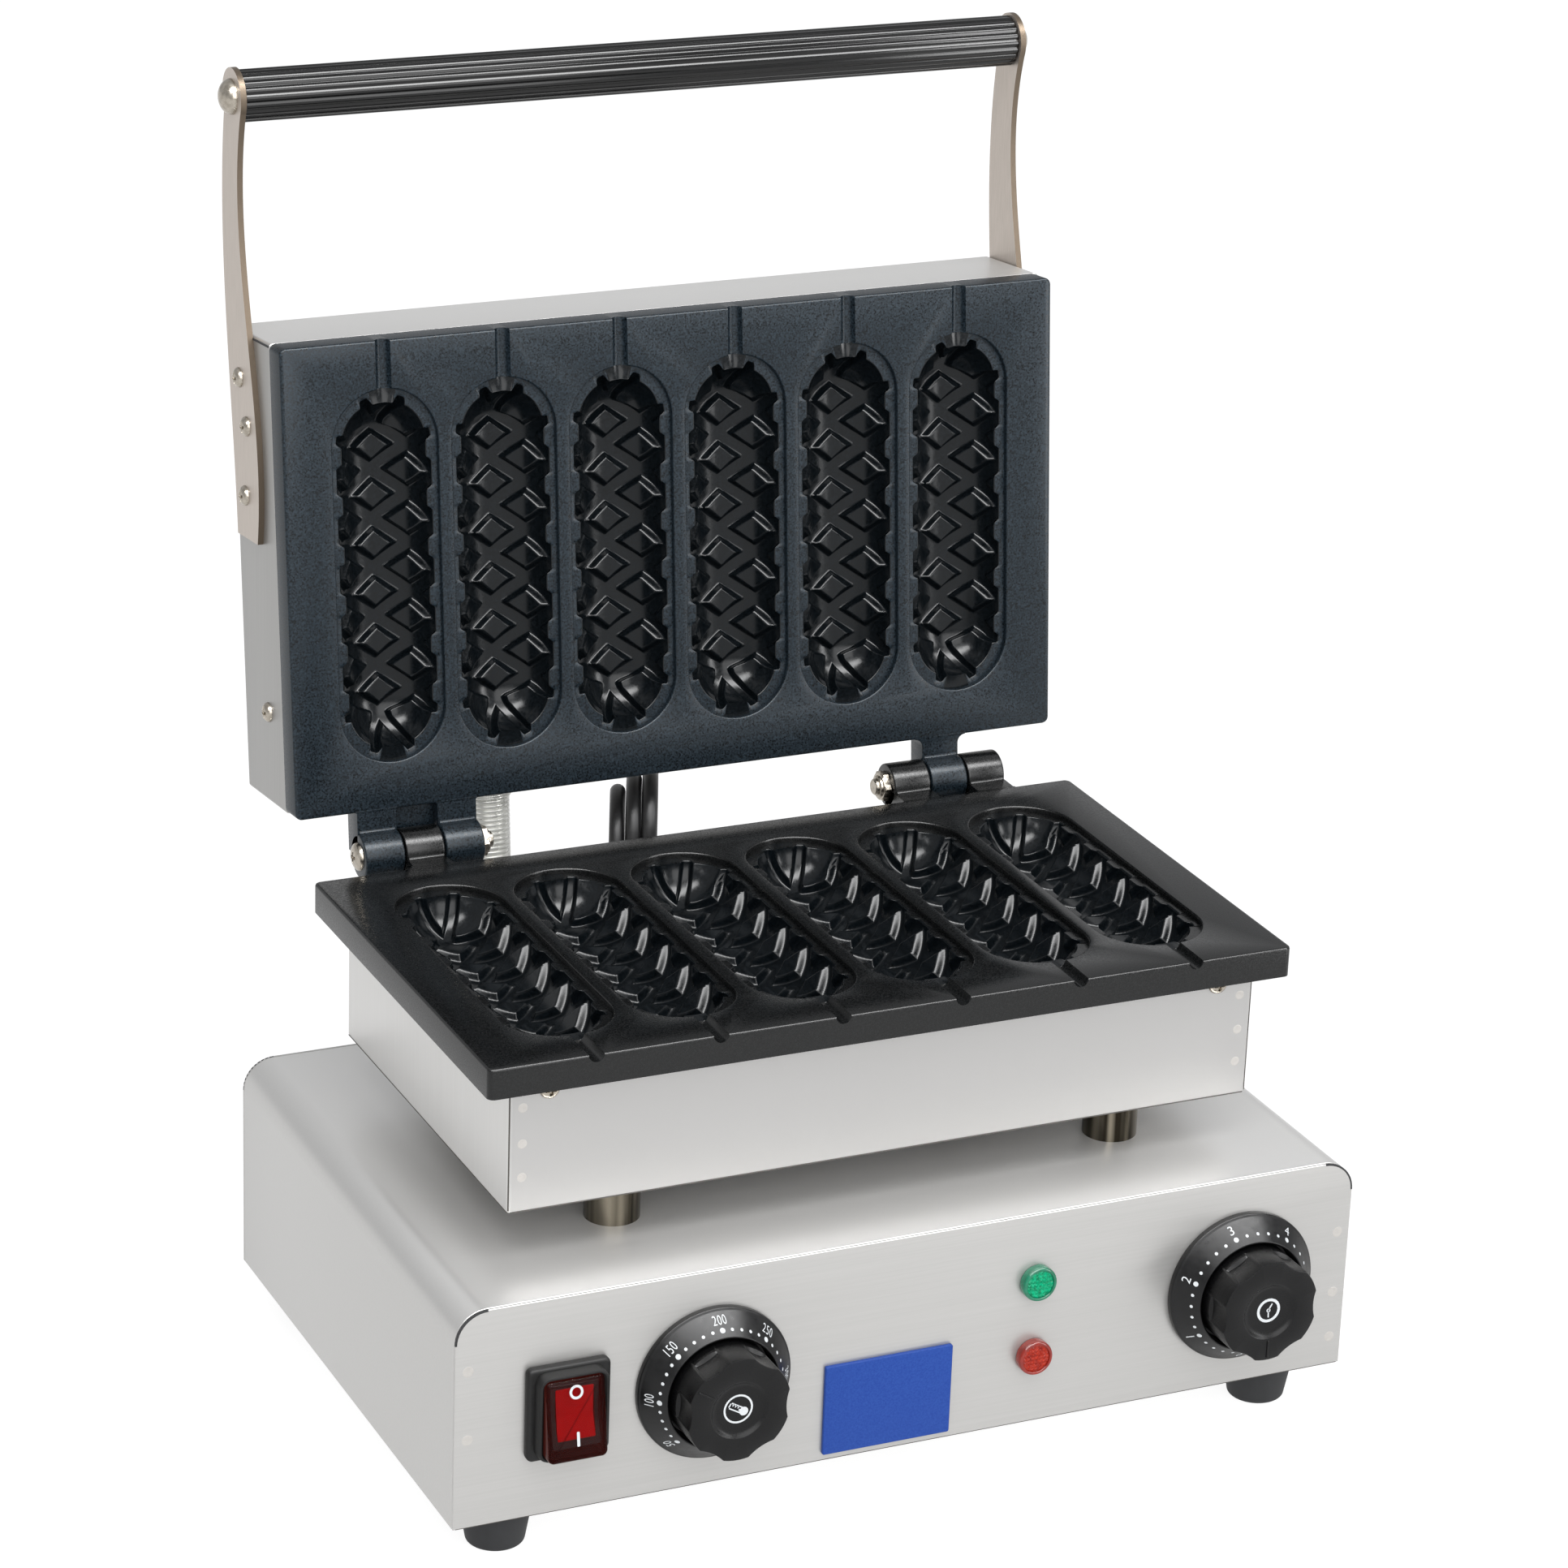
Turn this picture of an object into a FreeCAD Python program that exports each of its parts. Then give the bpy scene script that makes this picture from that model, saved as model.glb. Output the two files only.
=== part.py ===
import FreeCAD, Part
import os
from math import acos, atan2, cos, pi, radians, sin, sqrt, tan

# Six-mould stick waffle maker, lid standing open. Millimetres, +Z up, +Y to the back.
# The origin is the centre of the four feet, on the table.

V = FreeCAD.Vector
RIGHT = V(1, 0, 0)
BACK = V(0, 1, 0)
UP = V(0, 0, 1)

# Base housing
BASE_W = 400.0
BASE_D = 251.6
BASE_H = 94.5
BASE_EDGE_R = 13.6
BASE_SHEET = 1.2
BASE_FLANGE = 14.0
VENT_COUNT = 5
VENT_L = 46.0
VENT_W = 4.0
VENT_PITCH = 14.0
VENT_ROW_Y = 62.0
WIRE_HOLE_D = 20.0

# Feet
FOOT_H = 20.0
FOOT_TOP_D = 29.5
FOOT_BOTTOM_D = 24.0
FOOT_INSET_X = 26.5
FOOT_INSET_Y = 21.8
FOOT_RECESS_D = 13.0
FOOT_RECESS_H = 9.0
FOOT_SCREW_D = 5.0

# Posts between base and lower casing
POST_D = 23.0
POST_WALL = 1.5
POST_H = 21.6
POST_INSET_X = 52.3
POST_INSET_Y = 26.3
POST_SHIFT_X = 3.5
POST_BOLT_D = 8.0

# Moulds and the two cast plates
MOULD_COUNT = 6
MOULD_L = 160.0
MOULD_W = 47.0
MOULD_GAP = 6.05
MOULD_LEDGE = 2.5
MOULD_LEDGE_DEPTH = 2.6
MOULD_WALL = 4.0
STICK_GROOVE_D = 6.6
PAD_HEIGHT = 3.4
PAD_APEX = 9.8
PAD_STEPS = 8.48
PAD_ALONG = 0.81
PAD_ROUND = 0.8
PLATE_SIDE = 21.4
PLATE_END = 20.6
PLATE_T = 12.9
PLATE_CORNER_R = 3.0
PLATE_EDGE_R = 1.0
PLATE_LUG_X = 29.0
PLATE_LUG_W = 12.0
PLATE_LUG_T = 9.0
PLATE_LUG_H = 10.0

# Casings
LOWER_CASING_H = 54.7
LOWER_INSET_X = 12.2
LOWER_INSET_Y = 9.3
UPPER_CASING_H = 48.0
CASING_SHEET = 1.0
CASING_EDGE_R = 1.6
CASING_FLANGE = 5.0

# Hinges
HINGE_REACH = 18.8
HINGE_RISE = 0.4
HINGE_INSET_X = 54.0
HINGE_BARREL_D = 19.5
HINGE_MIDDLE_W = 17.4
HINGE_OUTER_W = 17.6
HINGE_SIDE_GAP = 0.6
HINGE_BOLT_D = 8.0
HINGE_ROOT_R = 4.0
BOLT_HEAD_D = 14.0
BOLT_HEAD_H = 4.2
NUT_AF = 13.0
NUT_H = 6.0
BOLT_TAIL = 2.4
LID_OPEN = 96.0

# Handle, given on the lid: distance up from the hinge axis, then distance behind it
ARM_T = 2.5
ARM_START = 132.0
ARM_FRONT_START = 30.0
ARM_W = 25.5
ARM_BELLY = 3.5
ARM_BELLY_AT = 176.0
ARM_BOW = 7.0
ARM_BOW_AT = 239.0
GRIP_AT = 318.5
GRIP_BEHIND = 42.0
ARM_END_R = 12.0
GRIP_D = 22.0
GRIP_FLUTES = 20
GRIP_FLUTE_R = 1.3
GRIP_CORE_D = 12.0
HANDLE_BOLT_D = 8.0
HANDLE_HEAD_D = 15.0
HANDLE_HEAD_H = 5.5
ARM_SCREWS = ((150.5, 43.5), (181.0, 38.5), (200.5, 46.0))
CASING_SCREW = (59.0, 31.0)
SCREW_HEAD_D = 8.6
SCREW_HEAD_H = 2.6
SCREW_D = 4.0
SCREW_L = 9.0
RIM_SCREW_DROP = 4.4

# Front controls, from the panel's left or right edge and from its bottom edge
SWITCH_FROM_LEFT = 46.5
SWITCH_UP = 46.6
SWITCH_W = 35.0
SWITCH_H = 40.5
SWITCH_FRAME_T = 5.5
SWITCH_FRAME_R = 4.0
BOOT_W = 25.4
BOOT_H = 33.8
BOOT_WALL = 1.0
BOOT_LOW = 11.5
BOOT_HIGH = 17.0
BOOT_SEAT = 1.0
BOOT_EDGE_R = 2.4
SWITCH_BODY_L = 24.0
ROCKER_W = 20.6
ROCKER_H = 26.6
ROCKER_RISE = 8.6
ROCKER_DIP = 2.2
ROCKER_PIVOT = 3.0
ROCKER_PIN_D = 3.0
ROCKER_TILT = 10.0
DIAL_D = 66.4
DIAL_RIM_H = 2.6
DIAL_H = 12.0
DIAL_LIP_D = 49.2
DIAL_CUP_D = 47.2
DIAL_FLOOR = 2.8
DIAL_HOLE_D = 14.0
KNOB_D = 44.6
KNOB_TOP = 27.2
KNOB_EDGE_R = 0.6
KNOB_DISH_D = 24.8
KNOB_DISH_DEPTH = 1.6
KNOB_FLUTES = 6
KNOB_FLUTE_R = 22.0
KNOB_FLUTE_DEPTH = 1.7
KNOB_FLUTE_L = 11.5
KNOB_POINTER_L = 8.0
KNOB_POINTER_W = 1.4
KNOB_GAP = 0.6
KNOB_SOCKET = 9.0
SHAFT_D = 6.0
SHAFT_TAIL = 22.0
BUSH_D = 10.0
BUSH_TOP = 2.0
CONTROL_BODY = 38.0
CONTROL_BODY_L = 34.0
THERMOSTAT_FROM_LEFT = 109.5
THERMOSTAT_UP = 46.0
THERMOSTAT_POINTER = 148.0
TIMER_FROM_RIGHT = 51.7
TIMER_UP = 46.0
TIMER_POINTER = 270.0
LAMP_FROM_RIGHT = 147.0
GREEN_UP = 64.5
RED_UP = 30.8
LAMP_D = 17.0
LAMP_FLANGE_T = 2.0
LAMP_DOME_H = 3.6
LAMP_BARREL_D = 13.0
LAMP_BARREL_L = 26.0
BADGE_FROM_LEFT = 187.2
BADGE_UP = 23.2
BADGE_W = 56.8
BADGE_H = 39.8
BADGE_T = 2.0
BADGE_EDGE = 0.6

# Heating elements, bulb and terminals
ELEMENT_D = 8.0
ELEMENT_SPAN = 76.0
ELEMENT_L = 250.0
TERMINAL_D = 4.0
TERMINAL_L = 14.0
BULB_D = 6.0
BULB_L = 90.0
BLOCK_SIZE = (64.0, 22.0, 18.0)
BLOCK_Y = 20.0

# Conduit from the base to the lid
CONDUIT_X = -78.0
CONDUIT_D = 21.0
CONDUIT_BORE = 16.0
CONDUIT_VALLEY = 0.9
CONDUIT_RIBS = 40
CONDUIT_UP = 46.0
CONDUIT_BEHIND = 38.0
CONDUIT_TURN = 56.0
FERRULE_D = 27.0
FERRULE_L = 12.0
FERRULE_FLOOR = 2.0
FERRULE_SPIGOT_D = 18.0
FERRULE_SPIGOT_L = 5.0

# Power cord: gland, lead on the table, tied hank, tail and plug
CORD_D = 7.0
GLAND_AT = (114.5, 33.0)
GLAND_FLANGE_D = 20.0
GLAND_FLANGE_T = 4.0
GLAND_NOSE_L = 22.0
GLAND_NOSE_D = 10.4
HANK_AT = (-9.7, 153.5)
HANK_TURN = 23.2
HANK_LOOPS = 3
HANK_PITCH = 7.8
HANK_FOLD_R = 21.5
HANK_TOPS = (210.0, 212.0, 204.0)
HANK_WAIST_Z = 106.0
HANK_WAIST = 8.5
TIE_H = 8.0
TIE_T = 1.2
LEAD_HEADING = 225.0
LEAD_POINTS = ((114.5, 169.0, 33.0), (108.0, 184.5, 30.5), (96.0, 196.5, 25.0), (80.0, 203.5, 18.0),
               (62.5, 205.3, 11.0), (45.5, 202.8, 6.0))
CORD_END_RUN = 14.5
TAIL_HEADING = 164.0
TAIL_POINTS = ((-80.0, 154.6, 3.5), (-92.0, 157.0, 3.5))
PLUG_TILT = 17.0
PLUG_RELIEF_L = 18.0
PLUG_RELIEF_D = 10.0
PLUG_NECK_D = 19.0
PLUG_D = 37.0
PLUG_GRIP_L = 18.0
PLUG_FACE_L = 15.0
PLUG_RIM = 2.0
PLUG_PIN_D = 4.8
PLUG_PIN_L = 19.0
PLUG_PIN_SPACING = 19.0

# Clearances
RUNNING = 0.05
BOLT_CLEAR = 0.2
SLIP = 0.2

# Levels and places that follow from the sizes above
base_z0 = FOOT_H
base_z1 = FOOT_H + BASE_H
casing_z0 = base_z1 + POST_H
plate_z0 = casing_z0 + LOWER_CASING_H
plate_z1 = plate_z0 + PLATE_T
PLATE_W = MOULD_COUNT * MOULD_W + (MOULD_COUNT - 1) * MOULD_GAP + 2 * PLATE_SIDE
PLATE_D = MOULD_L + 2 * PLATE_END
TROUGH_R = MOULD_W / 2 - MOULD_LEDGE
hinge_y = PLATE_D / 2 + HINGE_REACH
hinge_z = plate_z1 + HINGE_RISE
HINGE_AXIS = V(0, hinge_y, hinge_z)
lower_casing_x = PLATE_W / 2 - LOWER_INSET_X
lower_casing_y = PLATE_D / 2 - LOWER_INSET_Y
front_y = -BASE_D / 2
rear_y = BASE_D / 2
hinge_centre_x = PLATE_W / 2 - HINGE_INSET_X
mould_xs = [(i - (MOULD_COUNT - 1) / 2) * (MOULD_W + MOULD_GAP) for i in range(MOULD_COUNT)]
trough_half = MOULD_L / 2 - MOULD_LEDGE - TROUGH_R
pad_step = (trough_half + TROUGH_R * pi / 2) / PAD_STEPS
switch_at = (-BASE_W / 2 + SWITCH_FROM_LEFT, base_z0 + SWITCH_UP)
thermostat_at = (-BASE_W / 2 + THERMOSTAT_FROM_LEFT, base_z0 + THERMOSTAT_UP)
timer_at = (BASE_W / 2 - TIMER_FROM_RIGHT, base_z0 + TIMER_UP)
green_at = (BASE_W / 2 - LAMP_FROM_RIGHT, base_z0 + GREEN_UP)
red_at = (BASE_W / 2 - LAMP_FROM_RIGHT, base_z0 + RED_UP)
badge_at = (-BASE_W / 2 + BADGE_FROM_LEFT, base_z0 + BADGE_UP)


# Small building blocks

def box(x0, x1, y0, y1, z0, z1):
    return Part.makeBox(x1 - x0, y1 - y0, z1 - z0, V(x0, y0, z0))


def rod(diameter, start, end):
    along = end - start
    return Part.makeCylinder(diameter / 2, along.Length, start, along)


def upright_edges(solid):
    return [e for e in solid.Edges if abs(e.tangentAt(e.FirstParameter).z) > 0.99]


def rounded_box(x0, x1, y0, y1, z0, z1, radius):
    solid = box(x0, x1, y0, y1, z0, z1)
    return solid.makeFillet(radius, upright_edges(solid))


def lathe(profile):
    """Turn (radius, height) points about +Z."""
    points = [V(r, 0, h) for r, h in profile]
    face = Part.Face(Part.makePolygon(points + points[:1]))
    return face.revolve(V(0, 0, 0), UP, 360)


def hexagon(across_flats, z0, z1):
    corner = across_flats / sqrt(3)
    points = [V(corner * cos(k * pi / 3), corner * sin(k * pi / 3), z0) for k in range(7)]
    return Part.Face(Part.makePolygon(points)).extrude(V(0, 0, z1 - z0))


def dome(diameter, height):
    """Round cap with a flat bottom at z = 0, its side in three conical steps."""
    r = diameter / 2
    turns = [k * pi / 6 for k in range(4)]
    return lathe([(0, 0)] + [(r * cos(t), height * sin(t)) for t in turns])


def turned_to(shape, place, direction):
    """Copy of a shape built along +Z, set down at place with +Z along direction."""
    copy = shape.copy()
    copy.Placement = FreeCAD.Placement(place, FreeCAD.Rotation(UP, direction))
    return copy


def on_front(shape, at):
    """Copy of a shape built with +Z out of the panel and +Y up, set on the front panel."""
    copy = shape.copy()
    copy.rotate(V(0, 0, 0), RIGHT, 90)
    copy.translate(V(at[0], front_y, at[1]))
    return copy


def group(shapes):
    return Part.makeCompound(shapes)


def lid_point(x, up_lid, behind):
    """Point of the closed lid: up_lid from the hinge axis, behind the axis' level."""
    return V(x, hinge_y - up_lid, hinge_z + behind)


def lid_open(shape):
    """Turn a piece of the closed lid about the hinge axis to the standing position."""
    copy = shape.copy()
    copy.rotate(HINGE_AXIS, RIGHT, -LID_OPEN)
    return copy


def lid_flip(shape):
    """Turn a piece of the lower plate over, on to the closed lid."""
    copy = shape.copy()
    copy.rotate(HINGE_AXIS, BACK, 180)
    return copy


# Base housing

def base_face(inset, z_bottom):
    """Front outline of the housing: upright sides and rounded top corners."""
    x = BASE_W / 2 - inset
    z = base_z1 - inset
    r = BASE_EDGE_R - inset
    mid = r * (1 - sqrt(0.5))
    corners = [V(-x, 0, z_bottom), V(-x, 0, z - r), V(-x + r, 0, z),
               V(x - r, 0, z), V(x, 0, z - r), V(x, 0, z_bottom)]
    edges = [
        Part.makeLine(corners[0], corners[1]),
        Part.Arc(corners[1], V(-x + mid, 0, z - mid), corners[2]).toShape(),
        Part.makeLine(corners[2], corners[3]),
        Part.Arc(corners[3], V(x - mid, 0, z - mid), corners[4]).toShape(),
        Part.makeLine(corners[4], corners[5]),
        Part.makeLine(corners[5], corners[0]),
    ]
    return Part.Face(Part.Wire(edges))


def base_slab(inset, z_bottom, y0, y1):
    face = base_face(inset, z_bottom)
    face.translate(V(0, y0, 0))
    return face.extrude(V(0, y1 - y0, 0))


def post_places():
    x = lower_casing_x - POST_INSET_X
    y = lower_casing_y - POST_INSET_Y
    return [V(sx * x + POST_SHIFT_X, sy * y, 0) for sx in (-1, 1) for sy in (-1, 1)]


def foot_places():
    x = BASE_W / 2 - FOOT_INSET_X
    y = BASE_D / 2 - FOOT_INSET_Y
    return [V(sx * x, sy * y, 0) for sx in (-1, 1) for sy in (-1, 1)]


def make_base_wrap():
    y0 = front_y + BASE_SHEET
    y1 = rear_y - BASE_SHEET
    wrap = base_slab(0, base_z0, y0, y1).cut(base_slab(BASE_SHEET, base_z0, y0, y1))
    side = BASE_W / 2 - BASE_SHEET
    z0 = base_z0 + BASE_SHEET
    for x0 in (-side, side - BASE_FLANGE):
        wrap = wrap.fuse(box(x0, x0 + BASE_FLANGE, y0, y1, z0, z0 + BASE_SHEET))
    hole = POST_BOLT_D + 2 * BOLT_CLEAR
    for place in post_places():
        wrap = wrap.cut(rod(hole, place + UP * (base_z1 - BASE_EDGE_R), place + UP * (base_z1 + 1)))
    for place in foot_places():
        wrap = wrap.cut(foot_hole(place))
    wire = rod(WIRE_HOLE_D, V(0, 0, base_z1 - BASE_EDGE_R), V(0, 0, base_z1 + 1))
    return wrap.cut(wire).removeSplitter()


def panel(y_out, y_in):
    """End panel over the open end of the wrap, with a return flange inside it."""
    step = BASE_SHEET if y_in > y_out else -BASE_SHEET
    flange_y = y_out + step + (BASE_FLANGE if step > 0 else -BASE_FLANGE)
    sheet = base_slab(0, base_z0, min(y_out, y_out + step), max(y_out, y_out + step))
    z0 = base_z0 + 2 * BASE_SHEET + SLIP
    ys = sorted((y_out + step, flange_y))
    flange = base_slab(BASE_SHEET, z0, *ys).cut(base_slab(2 * BASE_SHEET, z0 - 1, *ys))
    return sheet.fuse(flange)


def make_front_panel():
    sheet = panel(front_y, 0)
    deep = 2 * BASE_SHEET
    half_w = BOOT_W / 2 - BOOT_WALL
    half_h = BOOT_H / 2 - BOOT_WALL
    cuts = [on_front(box(-half_w, half_w, -half_h, half_h, -deep, deep), switch_at)]
    bush = Part.makeCylinder(BUSH_D / 2 + SLIP, 2 * deep, V(0, 0, -deep))
    barrel = Part.makeCylinder(LAMP_BARREL_D / 2 + SLIP, 2 * deep, V(0, 0, -deep))
    cuts += [on_front(bush, thermostat_at), on_front(bush, timer_at)]
    cuts += [on_front(barrel, green_at), on_front(barrel, red_at)]
    return sheet.cut(cuts).removeSplitter()


def make_rear_panel():
    sheet = panel(rear_y, 0)
    y0 = V(0, rear_y - 2 * BASE_SHEET, 0)
    y1 = V(0, rear_y + BASE_SHEET, 0)
    spigot = V(CONDUIT_X, 0, base_z0 + CONDUIT_UP)
    gland = V(GLAND_AT[0], 0, GLAND_AT[1])
    cuts = [rod(FERRULE_SPIGOT_D + 2 * SLIP, spigot + y0, spigot + y1),
            rod(GLAND_NOSE_D + 2 * SLIP, gland + y0, gland + y1)]
    return sheet.cut(cuts).removeSplitter()


def foot_hole(place):
    z0 = base_z0 - 1
    return rod(FOOT_SCREW_D + 2 * SLIP, place + UP * z0, place + UP * (base_z0 + 3 * BASE_SHEET))


def slot(x, y, z0, z1):
    """Round-ended vent slot along X."""
    half = (VENT_L - VENT_W) / 2
    body = box(x - half, x + half, y - VENT_W / 2, y + VENT_W / 2, z0, z1)
    ends = [rod(VENT_W, V(x + s * half, y, z0), V(x + s * half, y, z1)) for s in (-1, 1)]
    return body.fuse(ends)


def make_bottom_plate():
    x = BASE_W / 2 - BASE_SHEET
    y = BASE_D / 2 - BASE_SHEET
    z1 = base_z0 + BASE_SHEET
    plate = box(-x, x, -y, y, base_z0, z1)
    cuts = [foot_hole(place) for place in foot_places()]
    for k in range(VENT_COUNT):
        offset = (k - (VENT_COUNT - 1) / 2) * VENT_PITCH
        cuts += [slot(0, s * VENT_ROW_Y + offset, base_z0 - 1, z1 + 1) for s in (-1, 1)]
    return plate.cut(cuts)


def make_rubber_feet():
    recess = FOOT_RECESS_D / 2
    hole = FOOT_SCREW_D / 2 + SLIP
    foot = lathe([(hole, FOOT_RECESS_H), (recess, FOOT_RECESS_H), (recess, 0),
                  (FOOT_BOTTOM_D / 2 - 1, 0), (FOOT_BOTTOM_D / 2, 1),
                  (FOOT_TOP_D / 2, FOOT_H - 3), (FOOT_TOP_D / 2, FOOT_H), (hole, FOOT_H)])
    return group([turned_to(foot, place, UP) for place in foot_places()])


def make_foot_screws():
    head = FOOT_RECESS_D / 2 - 2
    shank = FOOT_SCREW_D / 2
    top = base_z0 + 2 * BASE_SHEET + FOOT_SCREW_D
    screw = lathe([(0, FOOT_RECESS_H - 3), (head, FOOT_RECESS_H - 3), (head, FOOT_RECESS_H),
                   (shank, FOOT_RECESS_H), (shank, top), (0, top)])
    return group([turned_to(screw, place, UP) for place in foot_places()])


def make_support_posts():
    tube = Part.makeCylinder(POST_D / 2, POST_H).cut(Part.makeCylinder(POST_D / 2 - POST_WALL, POST_H))
    return group([turned_to(tube, place + UP * base_z1, UP) for place in post_places()])


def make_post_bolts():
    low = base_z1 - BASE_SHEET - NUT_H
    high = casing_z0 + CASING_SHEET + NUT_H
    bolt = rod(POST_BOLT_D, V(0, 0, low - BOLT_TAIL), V(0, 0, high + BOLT_TAIL))
    bolt = bolt.fuse([hexagon(NUT_AF, low, low + NUT_H), hexagon(NUT_AF, high - NUT_H, high)])
    return group([turned_to(bolt, place, UP) for place in post_places()])


# Plates and casings

def capsule(radius, half, z):
    """Round-ended bar along Y, with its axis at height z."""
    body = rod(2 * radius, V(0, -half, z), V(0, half, z))
    return body.fuse([Part.makeSphere(radius, V(0, s * half, z)) for s in (-1, 1)])


def stadium(width, length, z0, z1):
    half = (length - width) / 2
    body = box(-width / 2, width / 2, -half, half, z0, z1)
    return body.fuse([rod(width, V(0, s * half, z0), V(0, s * half, z1)) for s in (-1, 1)])


def pad(along, round_by):
    """Four-sided pyramid standing on the trough, its peak towards the trough's axis. The place is a
    length along the trough, running on over the round ends, and an angle round it."""
    past = max(abs(along) - trough_half, 0) / TROUGH_R
    side = 1 if along > 0 else -1
    root = V(0, side * min(abs(along), trough_half), plate_z1)
    out = V(sin(round_by) * cos(past), side * sin(past), -cos(round_by) * cos(past))
    length = V(-sin(round_by) * sin(past), side * cos(past), cos(round_by) * sin(past))
    width = out.cross(length)
    grow = (PAD_APEX + 1) / PAD_APEX
    reach_l = length * (PAD_ALONG * pad_step * grow)
    reach_w = width * (PAD_ROUND * TROUGH_R * grow)
    middle = root + out * (TROUGH_R + 1)
    peak = root + out * (TROUGH_R - PAD_APEX)
    foot = [middle + reach_l, middle + reach_w, middle - reach_l, middle - reach_w]
    faces = [Part.Face(Part.makePolygon(foot + foot[:1]))]
    for k in range(4):
        faces.append(Part.Face(Part.makePolygon([foot[k - 1], foot[k], peak, foot[k - 1]])))
    solid = Part.makeSolid(Part.makeShell(faces))
    return solid if solid.Volume > 0 else solid.reversed()


def mould_pads():
    """Diamond lattice: middle and rim columns on odd half pitches, side columns on even ones."""
    places = [(k, 0) for k in (-7, -5, -3, -1, 1, 3, 5, 7)]
    for side in (-1, 1):
        places += [(k, side * pi / 4) for k in (-6, -4, -2, 0, 2, 4, 6)]
        places += [(k, side * pi / 2) for k in (-5, -3, -1, 1, 3, 5)]
    return [pad(k * pad_step, turn) for k, turn in places]


def mould_cutter():
    """Everything taken out of the plate for one mould: ledge, trough between its pads, stick groove."""
    above = 1.0
    ledge = stadium(MOULD_W, MOULD_L, plate_z1 - MOULD_LEDGE_DEPTH, plate_z1 + above)
    trough = capsule(TROUGH_R, trough_half, plate_z1).removeSplitter().cut(mould_pads())
    trough = trough.fuse(capsule(TROUGH_R - PAD_HEIGHT, trough_half, plate_z1).removeSplitter())
    trough = trough.common(box(-MOULD_W, MOULD_W, -MOULD_L, MOULD_L, 0, plate_z1 - MOULD_LEDGE_DEPTH / 2))
    groove = rod(STICK_GROOVE_D, V(0, -PLATE_D, plate_z1), V(0, -MOULD_L / 2 + MOULD_LEDGE / 2, plate_z1))
    return ledge.fuse([trough, groove])


def knuckle(x0, x1):
    """Hinge barrel on a short arm from the plate's back edge, with a rounded root."""
    y0 = PLATE_D / 2
    barrel_r = HINGE_BARREL_D / 2
    barrel = Part.makeCylinder(barrel_r, x1 - x0, V(x0, hinge_y, hinge_z), RIGHT)
    arm = box(x0, x1, y0 - PLATE_EDGE_R, hinge_y, plate_z0 + PLATE_EDGE_R, plate_z1 - PLATE_EDGE_R)
    bore = Part.makeCylinder(HINGE_BOLT_D / 2 + RUNNING, x1 - x0, V(x0, hinge_y, hinge_z), RIGHT)
    roots = []
    for x, s in ((x0, -1), (x1, 1)):
        corner = box(min(x, x + s * HINGE_ROOT_R), max(x, x + s * HINGE_ROOT_R),
                     y0 - PLATE_EDGE_R, y0 + HINGE_ROOT_R,
                     plate_z0 + PLATE_EDGE_R, plate_z1 - PLATE_EDGE_R)
        round_at = V(x + s * HINGE_ROOT_R, y0 + HINGE_ROOT_R, 0)
        roots.append(corner.cut(rod(2 * HINGE_ROOT_R, round_at, round_at + UP * (plate_z1 + 1))))
    return barrel.fuse([arm] + roots).cut(bore)


def knuckle_spans(side):
    """Middle and outer barrel spans along X of the hinge on one side."""
    centre = side * hinge_centre_x
    half = HINGE_MIDDLE_W / 2
    near = half + HINGE_SIDE_GAP
    far = near + HINGE_OUTER_W
    middle = (centre - half, centre + half)
    outer = ((centre - far, centre - near), (centre + near, centre + far))
    return middle, outer


def make_lower_plate():
    """Cast plate: slab, mould shells below it, one middle and two outer hinge barrels."""
    slab = rounded_box(-PLATE_W / 2, PLATE_W / 2, -PLATE_D / 2, PLATE_D / 2,
                       plate_z0, plate_z1, PLATE_CORNER_R)
    top = [e for e in slab.Edges if e.BoundBox.ZMin > plate_z1 - 0.01]
    slab = slab.makeFillet(PLATE_EDGE_R, top)
    under = box(-PLATE_W, PLATE_W, -PLATE_D, PLATE_D, 0, plate_z0 + PLATE_T / 2)
    shell = capsule(TROUGH_R + MOULD_WALL, trough_half, plate_z1).common(under)
    adds = [turned_to(shell, V(x, 0, 0), UP) for x in mould_xs]
    adds.append(knuckle(*knuckle_spans(-1)[0]))
    adds += [knuckle(*span) for span in knuckle_spans(1)[1]]
    lug_y = lower_casing_y - CASING_SHEET - SLIP
    for place in rim_screw_places():
        y1 = lug_y if place.y > 0 else -lug_y
        y0 = y1 - PLATE_LUG_T if place.y > 0 else y1 + PLATE_LUG_T
        adds.append(box(place.x - PLATE_LUG_W / 2, place.x + PLATE_LUG_W / 2,
                        min(y0, y1), max(y0, y1), plate_z0 - PLATE_LUG_H, plate_z0))
    plate = slab.fuse(adds)
    cutter = mould_cutter()
    cuts = [turned_to(cutter, V(x, 0, 0), UP) for x in mould_xs]
    for place in rim_screw_places():
        inward = V(0, -1 if place.y > 0 else 1, 0)
        cuts.append(rod(SCREW_D, place, place + inward * SCREW_L))
    return plate.cut(cuts).removeSplitter()


def rim_screw_places():
    """Screws through the lower casing's front and back walls into the plate's lugs."""
    x = PLATE_W / 2 - PLATE_LUG_X
    z = plate_z0 - RIM_SCREW_DROP
    return [V(sx * x, sy * lower_casing_y, z) for sx in (-1, 1) for sy in (-1, 1)]


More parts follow.
